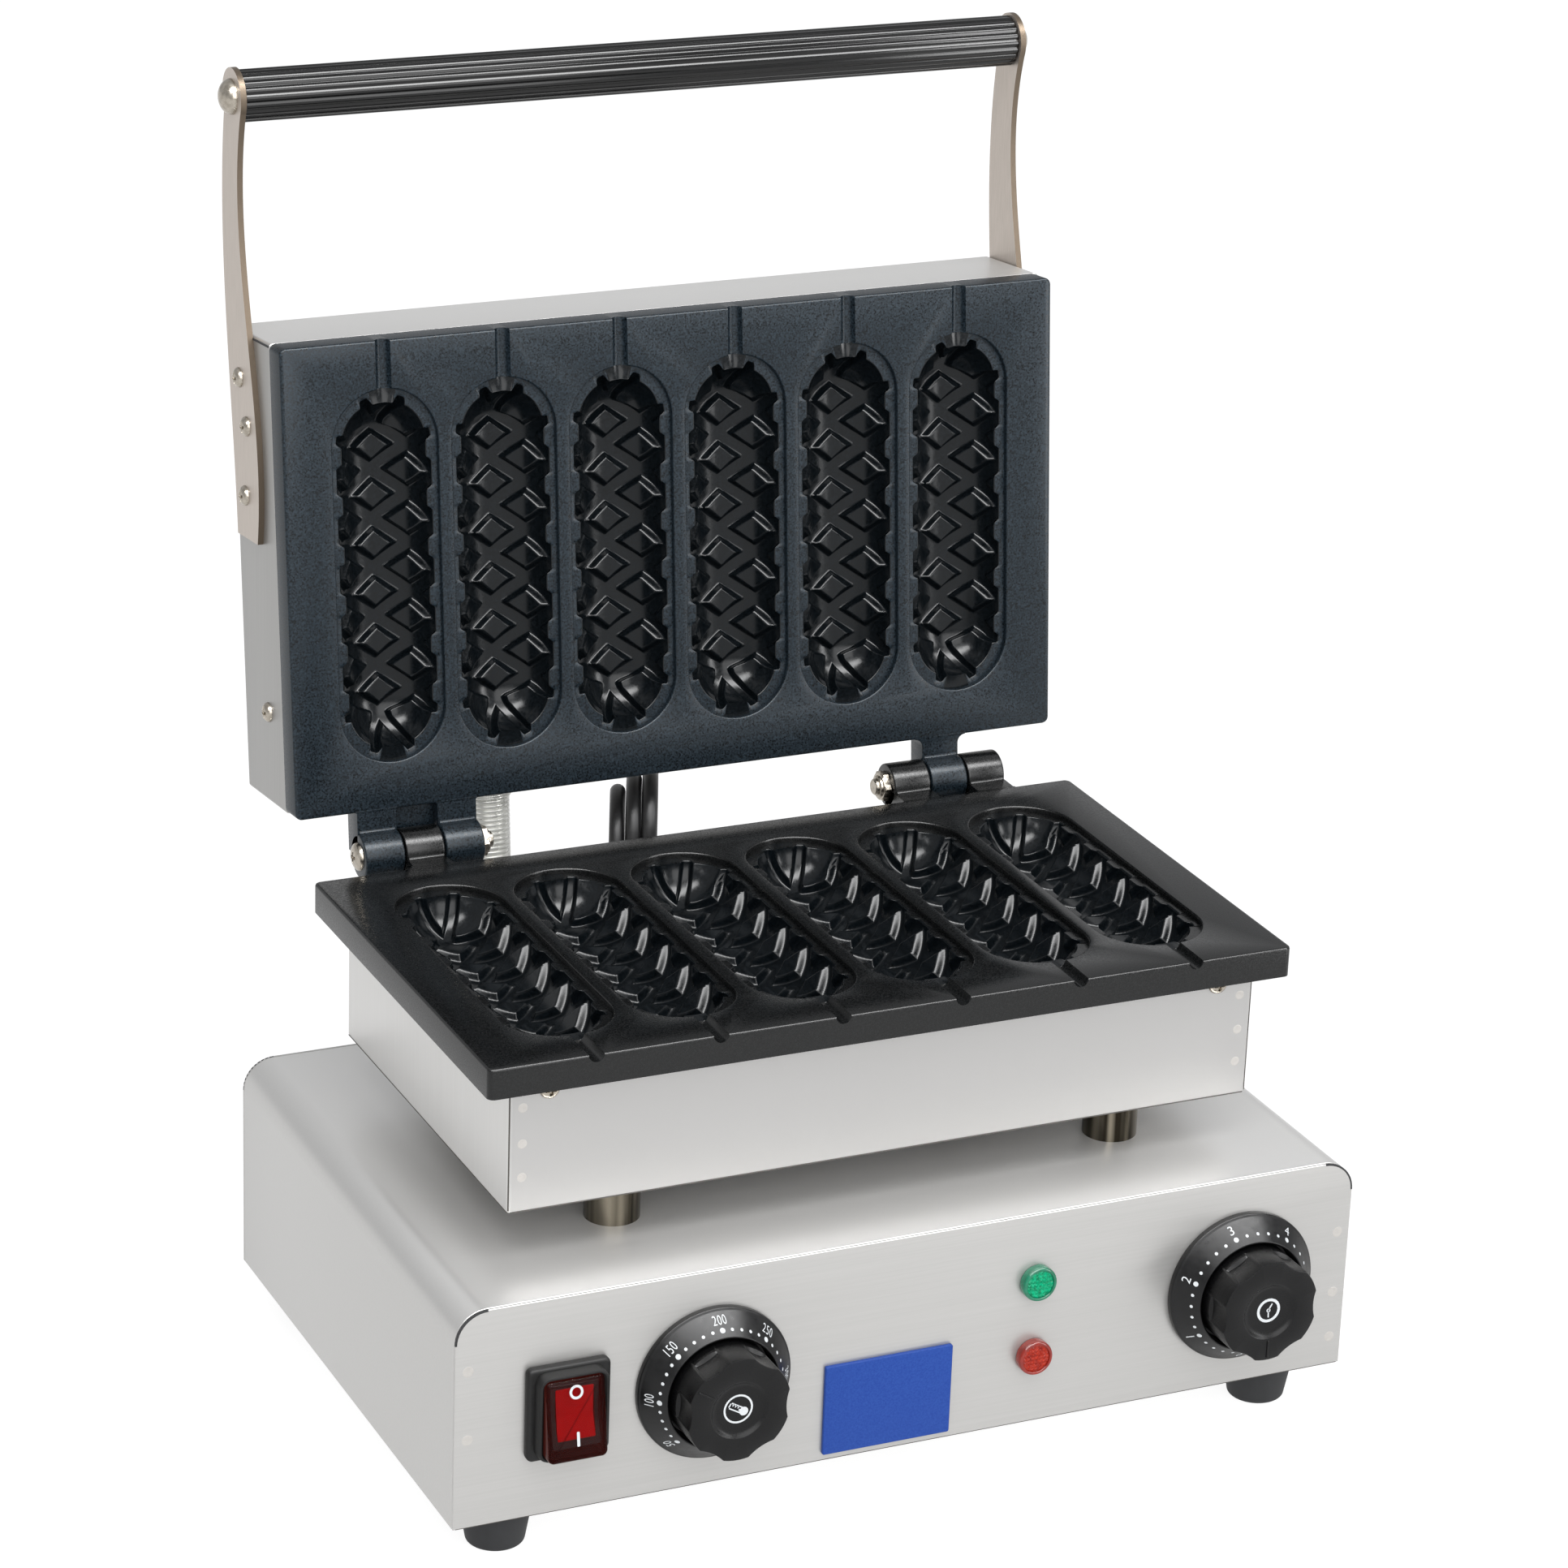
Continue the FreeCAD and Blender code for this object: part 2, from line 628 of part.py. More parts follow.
def make_lower_casing():
    x = lower_casing_x
    y = lower_casing_y
    t = CASING_SHEET
    shell = rounded_box(-x, x, -y, y, casing_z0, plate_z0, CASING_EDGE_R)
    shell = shell.cut(box(-x + t, x - t, -y + t, y - t, casing_z0 + t, plate_z0))
    for x0 in (-x + t, x - t - CASING_FLANGE):
        shell = shell.fuse(box(x0, x0 + CASING_FLANGE, -y + t, y - t, plate_z0 - t, plate_z0))
    hole = POST_BOLT_D + 2 * BOLT_CLEAR
    deep = UP * (casing_z0 + 2 * t)
    cuts = [rod(hole, place + UP * (casing_z0 - t), place + deep) for place in post_places()]
    cuts.append(rod(WIRE_HOLE_D, V(0, 0, casing_z0 - t), deep))
    for place in rim_screw_places():
        cuts.append(rod(SCREW_D + 2 * SLIP, place + BACK * (2 * t), place - BACK * (2 * t)))
    return shell.cut(cuts).removeSplitter()


def screw(length):
    """Pan-head screw along +Z, head above z = 0."""
    shank = Part.makeCylinder(SCREW_D / 2, length, V(0, 0, -length))
    return dome(SCREW_HEAD_D, SCREW_HEAD_H).fuse(shank)


def make_plate_screws():
    made = []
    for place in rim_screw_places():
        made.append(turned_to(screw(SCREW_L), place, V(0, 1 if place.y > 0 else -1, 0)))
    return group(made)


def make_heating_element():
    """Hairpin tube under the mould shells, with its two terminals."""
    z = plate_z1 - TROUGH_R - MOULD_WALL - ELEMENT_D / 2
    r = ELEMENT_SPAN / 2
    x0 = -ELEMENT_L / 2
    x1 = ELEMENT_L / 2 - r
    path = Part.Wire([
        Part.makeLine(V(x0, -r, z), V(x1, -r, z)),
        Part.Arc(V(x1, -r, z), V(x1 + r, 0, z), V(x1, r, z)).toShape(),
        Part.makeLine(V(x1, r, z), V(x0, r, z)),
    ])
    tube = tube_on(path, ELEMENT_D)
    pins = [rod(TERMINAL_D, V(x0 - TERMINAL_L, s * r, z), V(x0, s * r, z)) for s in (-1, 1)]
    return tube.fuse(pins).removeSplitter()


def make_thermostat_bulb():
    z = plate_z1 - TROUGH_R - MOULD_WALL - BULB_D / 2
    return rod(BULB_D, V(-BULB_L / 2, 0, z), V(BULB_L / 2, 0, z))


def make_upper_casing():
    """Deep sheet box on the upper plate's back, built on the closed lid."""
    x = PLATE_W / 2
    y = PLATE_D / 2
    t = CASING_SHEET
    z0 = hinge_z + HINGE_RISE + PLATE_T
    z1 = z0 + UPPER_CASING_H
    shell = rounded_box(-x, x, -y, y, z0, z1, CASING_EDGE_R)
    shell = shell.cut(box(-x + t, x - t, -y + t, y - t, z0, z1 - t))
    for x0 in (-x + t, x - t - CASING_FLANGE):
        shell = shell.fuse(box(x0, x0 + CASING_FLANGE, -y + t, y - t, z0, z0 + t))
    hole = SCREW_D + 2 * SLIP
    cuts = [rod(hole, p - RIGHT * (2 * t), p + RIGHT * (2 * t)) for p in side_screw_places(0)]
    exit_at = conduit_lid_place()
    cuts.append(rod(FERRULE_SPIGOT_D + 2 * SLIP, exit_at - BACK * (2 * t), exit_at + BACK * t))
    return shell.cut(cuts).removeSplitter()


# Hinge bolts

def make_hinge_bolts(side):
    """Bolt with its head on the outer barrel's end, and the nut on the inner one's."""
    outer = knuckle_spans(side)[1]
    ends = sorted((abs(v) for span in outer for v in span))
    inner_x = side * ends[0]
    outer_x = side * ends[-1]
    inward = V(-side, 0, 0)
    length = ends[-1] - ends[0] + NUT_H + BOLT_TAIL
    shank = Part.makeCylinder(HINGE_BOLT_D / 2, length, V(0, 0, 0), V(0, 0, -1))
    bolt = turned_to(dome(BOLT_HEAD_D, BOLT_HEAD_H).fuse(shank), V(outer_x, hinge_y, hinge_z), -inward)
    hole = Part.makeCylinder(HINGE_BOLT_D / 2 + SLIP / 2, NUT_H)
    nut = turned_to(hexagon(NUT_AF, 0, NUT_H).cut(hole), V(inner_x, hinge_y, hinge_z), inward)
    return bolt, nut


# Handle on the lid

def arm_outline():
    """Flat bar with a belly at the screws, a bow above the casing and a round top end."""
    front = ARM_FRONT_START
    back = front + ARM_W
    top = GRIP_AT - ARM_END_R / 2
    side = sqrt(ARM_END_R ** 2 - (ARM_END_R / 2) ** 2)

    def at(up_lid, behind):
        return lid_point(0, up_lid, behind)

    front_edge = Part.BSplineCurve()
    front_edge.interpolate([at(ARM_START, front), at(ARM_BELLY_AT, front - ARM_BELLY),
                            at(ARM_BOW_AT, front + ARM_BOW), at(top, GRIP_BEHIND - side)])
    back_edge = Part.BSplineCurve()
    back_edge.interpolate([at(top, GRIP_BEHIND + side), at(ARM_BOW_AT, back + ARM_BOW - ARM_BELLY / 2),
                           at(ARM_BELLY_AT, back + ARM_BELLY / 2), at(ARM_START, back)])
    edges = [front_edge.toShape(),
             Part.Arc(at(top, GRIP_BEHIND - side), at(GRIP_AT + ARM_END_R, GRIP_BEHIND),
                      at(top, GRIP_BEHIND + side)).toShape(),
             back_edge.toShape(),
             Part.makeLine(at(ARM_START, back), at(ARM_START, front))]
    return Part.Face(Part.Wire(edges))


def side_screw_places(outside):
    """Casing side screws on both sides, measured outside the casing wall."""
    x = PLATE_W / 2 + outside
    places = [CASING_SCREW] + list(ARM_SCREWS)
    return [lid_point(s * x, up_lid, behind) for s in (-1, 1) for up_lid, behind in places]


def make_handle_arm(side):
    x = PLATE_W / 2
    arm = arm_outline()
    arm.translate(V(side * x, 0, 0))
    arm = arm.extrude(V(side * ARM_T, 0, 0))
    holes = [(place, SCREW_D) for place in ARM_SCREWS] + [((GRIP_AT, GRIP_BEHIND), HANDLE_BOLT_D)]
    cuts = []
    for (up_lid, behind), diameter in holes:
        start = lid_point(side * (x - ARM_T), up_lid, behind)
        cuts.append(rod(diameter + 2 * SLIP, start, start + RIGHT * (side * 3 * ARM_T)))
    return arm.cut(cuts)


def make_handle_grip():
    """Fluted sleeve between the arms, with a bore for its core."""
    half = PLATE_W / 2
    r = GRIP_D / 2
    sleeve = Part.makeCylinder(r, 2 * half)
    sleeve = sleeve.makeChamfer(1.0, [e for e in sleeve.Edges if e.Closed])
    flutes = []
    for k in range(GRIP_FLUTES):
        turn = 2 * pi * k / GRIP_FLUTES
        place = V(r * cos(turn), r * sin(turn), 0)
        flutes.append(Part.makeCylinder(GRIP_FLUTE_R, 2 * half, place))
    bore = Part.makeCylinder(GRIP_CORE_D / 2, 2 * half)
    sleeve = sleeve.cut(flutes + [bore])
    return turned_to(sleeve, lid_point(-half, GRIP_AT, GRIP_BEHIND), RIGHT)


def make_handle_core():
    half = PLATE_W / 2
    tube = Part.makeCylinder(GRIP_CORE_D / 2, 2 * half)
    tube = tube.cut(Part.makeCylinder(HANDLE_BOLT_D / 2, 2 * half))
    return turned_to(tube, lid_point(-half, GRIP_AT, GRIP_BEHIND), RIGHT)


def make_handle_bolts():
    length = ARM_T + 30.0
    shank = Part.makeCylinder(HANDLE_BOLT_D / 2, length, V(0, 0, -length))
    bolt = dome(HANDLE_HEAD_D, HANDLE_HEAD_H).fuse(shank)
    x = PLATE_W / 2 + ARM_T
    return group([turned_to(bolt, lid_point(s * x, GRIP_AT, GRIP_BEHIND), V(s, 0, 0)) for s in (-1, 1)])


def make_side_screws(arms):
    """Screws through the arms, or the single casing screw below them, with nuts inside."""
    places = ARM_SCREWS if arms else (CASING_SCREW,)
    outside = ARM_T if arms else 0.0
    wall = outside + CASING_SHEET
    nut = Part.makeCylinder(SCREW_HEAD_D / 2, SCREW_D, V(0, 0, -wall - SCREW_D))
    made = []
    for side in (-1, 1):
        for up_lid, behind in places:
            place = lid_point(side * (PLATE_W / 2 + outside), up_lid, behind)
            made.append(turned_to(screw(SCREW_L).fuse(nut), place, V(side, 0, 0)))
    return group(made)


# Front controls

def make_switch_housing():
    """Raised frame on the panel and the contact block behind it, with the rocker's pocket."""
    frame = box(-SWITCH_W / 2, SWITCH_W / 2, -SWITCH_H / 2, SWITCH_H / 2, 0, SWITCH_FRAME_T)
    frame = frame.makeFillet(SWITCH_FRAME_R, upright_edges(frame))
    rim = [e for e in frame.Edges if e.BoundBox.ZMin > SWITCH_FRAME_T - 0.01]
    frame = frame.makeChamfer(BOOT_WALL, rim)
    half_w = BOOT_W / 2
    half_h = BOOT_H / 2
    slip = SLIP
    frame = frame.cut(box(-half_w - slip, half_w + slip, -half_h - slip, half_h + slip,
                          BOOT_SEAT, SWITCH_FRAME_T + 1))
    w = half_w - BOOT_WALL - slip
    h = half_h - BOOT_WALL - slip
    block = rounded_box(-w, w, -h, h, -SWITCH_BODY_L, SWITCH_FRAME_T - BOOT_WALL, BOOT_EDGE_R)
    pocket = box(-ROCKER_W / 2 - 2 * slip, ROCKER_W / 2 + 2 * slip, -h + 1, h - 1,
                 -ROCKER_PIVOT, SWITCH_FRAME_T + 1)
    pin = rod(ROCKER_PIN_D + 2 * RUNNING, V(-w + slip, 0, ROCKER_PIVOT), V(w - slip, 0, ROCKER_PIVOT))
    return on_front(frame.fuse(block).cut([pocket, pin]), switch_at)


def make_switch_rocker():
    """Two-faced rocker on a cross pin, tilted to off: its lower end stands out."""
    half = ROCKER_H / 2
    top = ROCKER_PIVOT + ROCKER_RISE
    outline = [V(0, -half, top), V(0, 0, top - ROCKER_DIP), V(0, half, top),
               V(0, half - 1, ROCKER_PIVOT), V(0, 3, 0.5), V(0, -3, 0.5), V(0, 1 - half, ROCKER_PIVOT)]
    face = Part.Face(Part.makePolygon(outline + outline[:1]))
    face.translate(V(-ROCKER_W / 2, 0, 0))
    rocker = face.extrude(V(ROCKER_W, 0, 0))
    reach = BOOT_W / 2 - BOOT_WALL - 2 * SLIP - RUNNING
    rocker = rocker.fuse(rod(ROCKER_PIN_D, V(-reach, 0, ROCKER_PIVOT), V(reach, 0, ROCKER_PIVOT)))
    rocker.rotate(V(0, 0, ROCKER_PIVOT), RIGHT, -ROCKER_TILT)
    return on_front(rocker.removeSplitter(), switch_at)


def boot_block(inset, floor):
    """Sloped cap: low at its upper end, high at its lower end."""
    half_w = BOOT_W / 2 - inset
    half_h = BOOT_H / 2 - inset
    outline = [V(-half_w, -half_h, floor), V(-half_w, half_h, floor),
               V(-half_w, half_h, BOOT_LOW - inset), V(-half_w, -half_h, BOOT_HIGH - inset)]
    face = Part.Face(Part.makePolygon(outline + outline[:1]))
    block = face.extrude(V(2 * half_w, 0, 0))
    edges = [e for e in block.Edges if e.BoundBox.ZMax > floor + 0.1]
    return block.makeFillet(BOOT_EDGE_R - inset, edges)


def make_switch_boot():
    return on_front(boot_block(0, BOOT_SEAT).cut(boot_block(BOOT_WALL, BOOT_SEAT)), switch_at)


def make_dial(at):
    """Cone-shaped dial skirt with a cup that the knob sits in."""
    r = DIAL_D / 2
    lip = DIAL_LIP_D / 2
    cup = DIAL_CUP_D / 2
    dial = lathe([(DIAL_HOLE_D / 2, 0), (r, 0), (r, DIAL_RIM_H), (r - 0.9, DIAL_RIM_H + 0.7), (lip, DIAL_H),
                  (lip - 0.5, DIAL_H), (cup, DIAL_H - 0.8), (cup, DIAL_FLOOR), (DIAL_HOLE_D / 2, DIAL_FLOOR)])
    return on_front(dial, at)


def make_control_body(at):
    """Square body behind the panel with the threaded bush that its shaft turns in."""
    half = CONTROL_BODY / 2
    back = -BASE_SHEET - CONTROL_BODY_L
    body = box(-half, half, -half, half, back, -BASE_SHEET)
    body = body.fuse(Part.makeCylinder(BUSH_D / 2, BUSH_TOP + BASE_SHEET, V(0, 0, -BASE_SHEET)))
    bore = Part.makeCylinder(SHAFT_D / 2 + RUNNING, SHAFT_TAIL + BUSH_TOP + 1, V(0, 0, -SHAFT_TAIL))
    return on_front(body.cut(bore), at)


def make_shaft(at):
    end = DIAL_FLOOR + KNOB_GAP + KNOB_SOCKET
    tail = SHAFT_TAIL - 1
    return on_front(Part.makeCylinder(SHAFT_D / 2, tail + end, V(0, 0, -tail)), at)


def make_knob(at, pointer):
    """Moulded knob: round foot in the dial's cup, scalloped grip, dished face and pointer ridge."""
    low = DIAL_FLOOR + KNOB_GAP
    grip = Part.makeCylinder(KNOB_D / 2, KNOB_TOP - low, V(0, 0, low))
    scallops = []
    for k in range(KNOB_FLUTES):
        turn = 2 * pi * (k + 0.5) / KNOB_FLUTES
        far = KNOB_D / 2 - KNOB_FLUTE_DEPTH + KNOB_FLUTE_R
        place = V(far * cos(turn), far * sin(turn), KNOB_TOP - KNOB_FLUTE_L)
        scallops.append(Part.makeCylinder(KNOB_FLUTE_R, KNOB_TOP, place))
    grip = grip.cut(scallops)
    rim = [e for e in grip.Edges if e.BoundBox.ZMin > KNOB_TOP - 0.01]
    grip = grip.makeChamfer(KNOB_EDGE_R, rim)
    dish = Part.makeCone(KNOB_DISH_D / 2 - KNOB_DISH_DEPTH, KNOB_DISH_D / 2, KNOB_DISH_DEPTH,
                         V(0, 0, KNOB_TOP - KNOB_DISH_DEPTH))
    socket = Part.makeCylinder(SHAFT_D / 2, KNOB_SOCKET, V(0, 0, low))
    knob = grip.cut([dish, socket])
    far = KNOB_D / 2 - KNOB_EDGE_R
    half = KNOB_POINTER_W / 2
    line = box(far - KNOB_POINTER_L, far, -half, half, KNOB_TOP - half, KNOB_TOP + half)
    knob = knob.fuse(line).removeSplitter()
    knob.rotate(V(0, 0, 0), UP, pointer)
    return on_front(knob, at)


def make_lamp_lens(at):
    flange = Part.makeCylinder(LAMP_D / 2, LAMP_FLANGE_T)
    cap = dome(LAMP_D - 2, LAMP_DOME_H)
    cap.translate(V(0, 0, LAMP_FLANGE_T))
    return on_front(flange.fuse(cap), at)


def make_lamp_barrels():
    barrel = Part.makeCylinder(LAMP_BARREL_D / 2, LAMP_BARREL_L, V(0, 0, -LAMP_BARREL_L))
    return group([on_front(barrel, at) for at in (green_at, red_at)])


def make_badge_plate():
    plate = box(-BADGE_W / 2, BADGE_W / 2, -BADGE_H / 2, BADGE_H / 2, 0, BADGE_T)
    rim = [e for e in plate.Edges if e.BoundBox.ZMin > BADGE_T - 0.01]
    return on_front(plate.makeChamfer(BADGE_EDGE, rim), badge_at)


def make_terminal_block():
    w, d, h = BLOCK_SIZE
    z0 = base_z0 + BASE_SHEET
    return box(-w / 2, w / 2, BLOCK_Y, BLOCK_Y + d, z0, z0 + h)


# Conduit

def conduit_lid_place():
    """Conduit exit on the closed lid: centre of the hole in the hinge-side wall."""
    return V(CONDUIT_X, PLATE_D / 2, hinge_z + CONDUIT_BEHIND)


def make_ferrule():
    """Round fitting: flange with a socket for the hose, spigot through the wall."""
    socket = CONDUIT_D / 2 + SLIP
    bore = CONDUIT_BORE / 2
    spigot = FERRULE_SPIGOT_D / 2
    return lathe([(bore, -FERRULE_SPIGOT_L), (spigot, -FERRULE_SPIGOT_L), (spigot, 0),
                  (FERRULE_D / 2, 0), (FERRULE_D / 2, FERRULE_L - 1), (FERRULE_D / 2 - 1, FERRULE_L),
                  (socket, FERRULE_L), (socket, FERRULE_FLOOR), (bore, FERRULE_FLOOR)])


def conduit_base_place():
    return V(CONDUIT_X, rear_y, base_z0 + CONDUIT_UP)


def conduit_path():
    """Straight end, arc to the back, larger arc down to the rear panel, straight end."""
    turn = FreeCAD.Rotation(RIGHT, -LID_OPEN)
    out = turn.multVec(BACK)
    start = HINGE_AXIS + turn.multVec(conduit_lid_place() - HINGE_AXIS) + out * FERRULE_FLOOR
    first = start + out * CONDUIT_D
    end = conduit_base_place() + BACK * FERRULE_FLOOR
    last = end + BACK * CONDUIT_D
    h0 = atan2(out.z, out.y)
    h1 = h0 + radians(CONDUIT_TURN)
    h2 = -pi
    a = (sin(h1) - sin(h0), cos(h0) - cos(h1))
    b = (sin(h1) - sin(h2), cos(h2) - cos(h1))
    dy = last.y - first.y
    dz = last.z - first.z
    det = a[0] * b[1] - b[0] * a[1]
    r1 = (dy * b[1] - b[0] * dz) / det
    r2 = (a[0] * dz - dy * a[1]) / det
    mid1 = (h0 + h1) / 2
    mid2 = (h1 + h2) / 2
    knee = first + V(0, a[0], a[1]) * r1
    half1 = first + V(0, sin(mid1) - sin(h0), cos(h0) - cos(mid1)) * r1
    half2 = knee + V(0, sin(h1) - sin(mid2), cos(mid2) - cos(h1)) * r2
    print("conduit arc radii %.1f %.1f" % (r1, r2))
    return Part.Wire([Part.makeLine(start, first), Part.Arc(first, half1, knee).toShape(),
                      Part.Arc(knee, half2, last).toShape(), Part.makeLine(last, end)])


def stations(path, lengths):
    """Point and direction on the path at each length from its start."""
    found = []
    edges = path.OrderedEdges
    for length in lengths:
        left = length
        for edge in edges:
            if left <= edge.Length or edge is edges[-1]:
                break
            left -= edge.Length
        parameter = edge.getParameterByLength(min(left, edge.Length))
        found.append((edge.valueAt(parameter), edge.tangentAt(parameter)))
    return found


def ring(point, direction, radius):
    """Circle square to the path, its start kept on the side of +X."""
    turn = FreeCAD.Rotation(RIGHT, direction.cross(RIGHT), direction, "ZXY")
    circle = Part.Circle(V(0, 0, 0), UP, radius).toShape()
    circle.Placement = FreeCAD.Placement(point, turn)
    return Part.Wire(circle)


def make_conduit():
    """Ribbed metal hose: crest and valley rings in turn, with its bore."""
    path = conduit_path()
    pitch = path.Length / CONDUIT_RIBS
    crest = CONDUIT_D / 2
    valley = crest - CONDUIT_VALLEY
    shape = ((0.0, valley), (0.2, crest), (0.65, crest), (0.85, valley))
    steps = [(k + share, radius) for k in range(CONDUIT_RIBS) for share, radius in shape]
    steps.append((CONDUIT_RIBS, valley))
    places = stations(path, [share * pitch for share, radius in steps])
    rings = [ring(p, d, radius) for (p, d), (share, radius) in zip(places, steps)]
    outside = Part.makeLoft(rings, True, True)
    return outside.cut(tube_on(path, CONDUIT_BORE))


def make_conduit_base_fitting():
    return turned_to(make_ferrule(), conduit_base_place(), BACK)


def make_conduit_lid_fitting():
    return turned_to(make_ferrule(), conduit_lid_place(), BACK)


# Power cord

def tube_on(path, diameter):
    """Round tube along a path of lines and arcs."""
    edge = path.OrderedEdges[0]
    profile = ring(edge.valueAt(edge.FirstParameter), edge.tangentAt(edge.FirstParameter), diameter / 2)
    shell = Part.BRepOffsetAPI.MakePipeShell(path)
    shell.add(profile)
    shell.build()
    shell.makeSolid()
    return shell.shape()


def soft_route(points, name):
    """Straight runs joined by arcs as large as the two runs at each point allow."""
    share = 0.45
    edges = []
    radii = []
    start = points[0]
    for before, point, after in zip(points, points[1:], points[2:]):
        back = (before - point)
        ahead = (after - point)
        reach = share * min(back.Length, ahead.Length)
        back.normalize()
        ahead.normalize()
        half = (pi - acos(max(-1.0, min(1.0, back.dot(ahead))))) / 2
        radius = reach / tan(half)
        radii.append(radius)
        into = point + back * reach
        out = point + ahead * reach
        inward = back + ahead
        inward.normalize()
        middle = point + inward * (radius / cos(half) - radius)
        edges.append(Part.makeLine(start, into))
        edges.append(Part.Arc(into, middle, out).toShape())
        start = out
    edges.append(Part.makeLine(start, points[-1]))
    print("%s radii %s" % (name, " ".join("%.0f" % r for r in radii)))
    return Part.Wire(edges)


def hank_point(across, along, z):
    """Point of the hank: across its loops, along the width of one loop, height."""
    turn = radians(HANK_TURN)
    x = HANK_AT[0] + across * cos(turn) + along * sin(turn)
    y = HANK_AT[1] - across * sin(turn) + along * cos(turn)
    return V(x, y, z)


def sway(p, q):
    """Two equal arcs from p to q, upright at both ends."""
    middle = (p + q) * 0.5
    chord = middle - p
    upright = V(0, 0, chord.z)
    lean = acos(chord.dot(upright) / (chord.Length * upright.Length))
    side = upright - chord * (upright.dot(chord) / chord.dot(chord))
    side.normalize()
    bulge = side * (chord.Length / 2 * tan(lean / 2))
    first = Part.Arc(p, p + chord * 0.5 + bulge, middle).toShape()
    second = Part.Arc(middle, middle + chord * 0.5 - bulge, q).toShape()
    return [first, second]


def heading(angle):
    return V(cos(radians(angle)), sin(radians(angle)), 0)


def quarter(upright_end, direction, leaving):
    """Quarter turn between the table and the foot of an upright leg."""
    r = HANK_FOLD_R
    low = upright_end + direction * r - UP * r
    middle = upright_end + direction * (r - r * sqrt(0.5)) - UP * (r * sqrt(0.5))
    if leaving:
        return Part.Arc(upright_end, middle, low).toShape(), low
    return Part.Arc(low, middle, upright_end).toShape(), low


def hank_path():
    """Lead comes up the back leg, over the top, down the front leg, and so on."""
    r = HANK_FOLD_R
    foot = r + CORD_D / 2
    spread = (HANK_LOOPS - 1) / 2
    start_leg = hank_point(spread * HANK_PITCH, r, foot)
    first, start = quarter(start_leg, heading(LEAD_HEADING + 180), False)
    edges = [first]
    for k in range(HANK_LOOPS):
        across = (spread - k) * HANK_PITCH
        top = HANK_TOPS[k] - foot
        edges += sway(hank_point(across, r, foot), hank_point(across, HANK_WAIST, HANK_WAIST_Z))
        edges += sway(hank_point(across, HANK_WAIST, HANK_WAIST_Z), hank_point(across, r, top))
        edges.append(Part.Arc(hank_point(across, r, top), hank_point(across, 0, top + r),
                              hank_point(across, -r, top)).toShape())
        waist = hank_point(across - HANK_PITCH / 2, -HANK_WAIST, HANK_WAIST_Z)
        low = hank_point(across - HANK_PITCH, -r, foot)
        edges += sway(hank_point(across, -r, top), waist)
        edges += sway(waist, low)
        if k < HANK_LOOPS - 1:
            edges.append(Part.Arc(low, hank_point(across - HANK_PITCH, 0, foot - r),
                                  hank_point(across - HANK_PITCH, r, foot)).toShape())
    last, end = quarter(low, heading(TAIL_HEADING), True)
    edges.append(last)
    return Part.Wire(edges), start, end


def least_gap(path, diameter):
    """Smallest gap between stretches of the tube that are not neighbours on the path."""
    step = diameter / 2
    count = int(path.Length / step)
    points = [p for p, d in stations(path, [k * step for k in range(count + 1)])]
    skip = int(4 * diameter / step)
    least = min(p.distanceToPoint(q) for i, p in enumerate(points) for q in points[i + skip:])
    return least - diameter


def lead_points(start):
    """From the gland, back and down on to the table, then round to the hank."""
    nose = V(GLAND_AT[0], rear_y + GLAND_FLANGE_T + GLAND_NOSE_L, GLAND_AT[1])
    settled = start - heading(LEAD_HEADING) * CORD_END_RUN
    return [nose] + [V(*point) for point in LEAD_POINTS] + [settled, start]


def plug_direction():
    """The plug lies on its rim and its cord end, so its pins point a little up."""
    tilt = radians(PLUG_TILT)
    return heading(TAIL_HEADING) * cos(tilt) + UP * sin(tilt)


def tail_points(end):
    """From the hank along the table, up into the plug's strain relief."""
    points = [end, end + heading(TAIL_HEADING) * CORD_END_RUN] + [V(*point) for point in TAIL_POINTS]
    tilt = radians(PLUG_TILT)
    rim = PLUG_RELIEF_L + PLUG_GRIP_L + PLUG_RIM
    relief_z = PLUG_D / 2 * cos(tilt) - rim * sin(tilt)
    last = (relief_z - points[-1].z) / sin(tilt)
    return points + [points[-1] + plug_direction() * last]


def make_cord_gland():
    """Moulded strain relief: flange on the panel and a tapered nose."""
    nose = GLAND_FLANGE_T + GLAND_NOSE_L
    body = lathe([(0, -BASE_SHEET - 3), (GLAND_NOSE_D / 2, -BASE_SHEET - 3), (GLAND_NOSE_D / 2, 0),
                  (GLAND_FLANGE_D / 2, 0), (GLAND_FLANGE_D / 2, GLAND_FLANGE_T),
                  (GLAND_NOSE_D / 2 + 1.5, GLAND_FLANGE_T + 1), (CORD_D / 2 + 0.8, nose), (0, nose)])
    return turned_to(body, V(GLAND_AT[0], rear_y, GLAND_AT[1]), BACK)


def make_hank_tie():
    """Strap round the strands at the waist."""
    half_w = (HANK_LOOPS - 1) / 2 * HANK_PITCH + HANK_PITCH / 4 + CORD_D / 2
    half_d = HANK_WAIST + CORD_D / 2
    z0 = HANK_WAIST_Z - TIE_H / 2
    outside = box(-half_w - TIE_T, half_w + TIE_T, -half_d - TIE_T, half_d + TIE_T, z0, z0 + TIE_H)
    inside = box(-half_w, half_w, -half_d, half_d, z0, z0 + TIE_H)
    outside = outside.makeFillet(CORD_D / 2 + TIE_T, upright_edges(outside))
    strap = outside.cut(inside.makeFillet(CORD_D / 2, upright_edges(inside)))
    strap.rotate(V(0, 0, 0), UP, -HANK_TURN)
    centre = hank_point(-HANK_PITCH / 4, 0, 0)
    strap.translate(V(centre.x, centre.y, 0))
    return strap


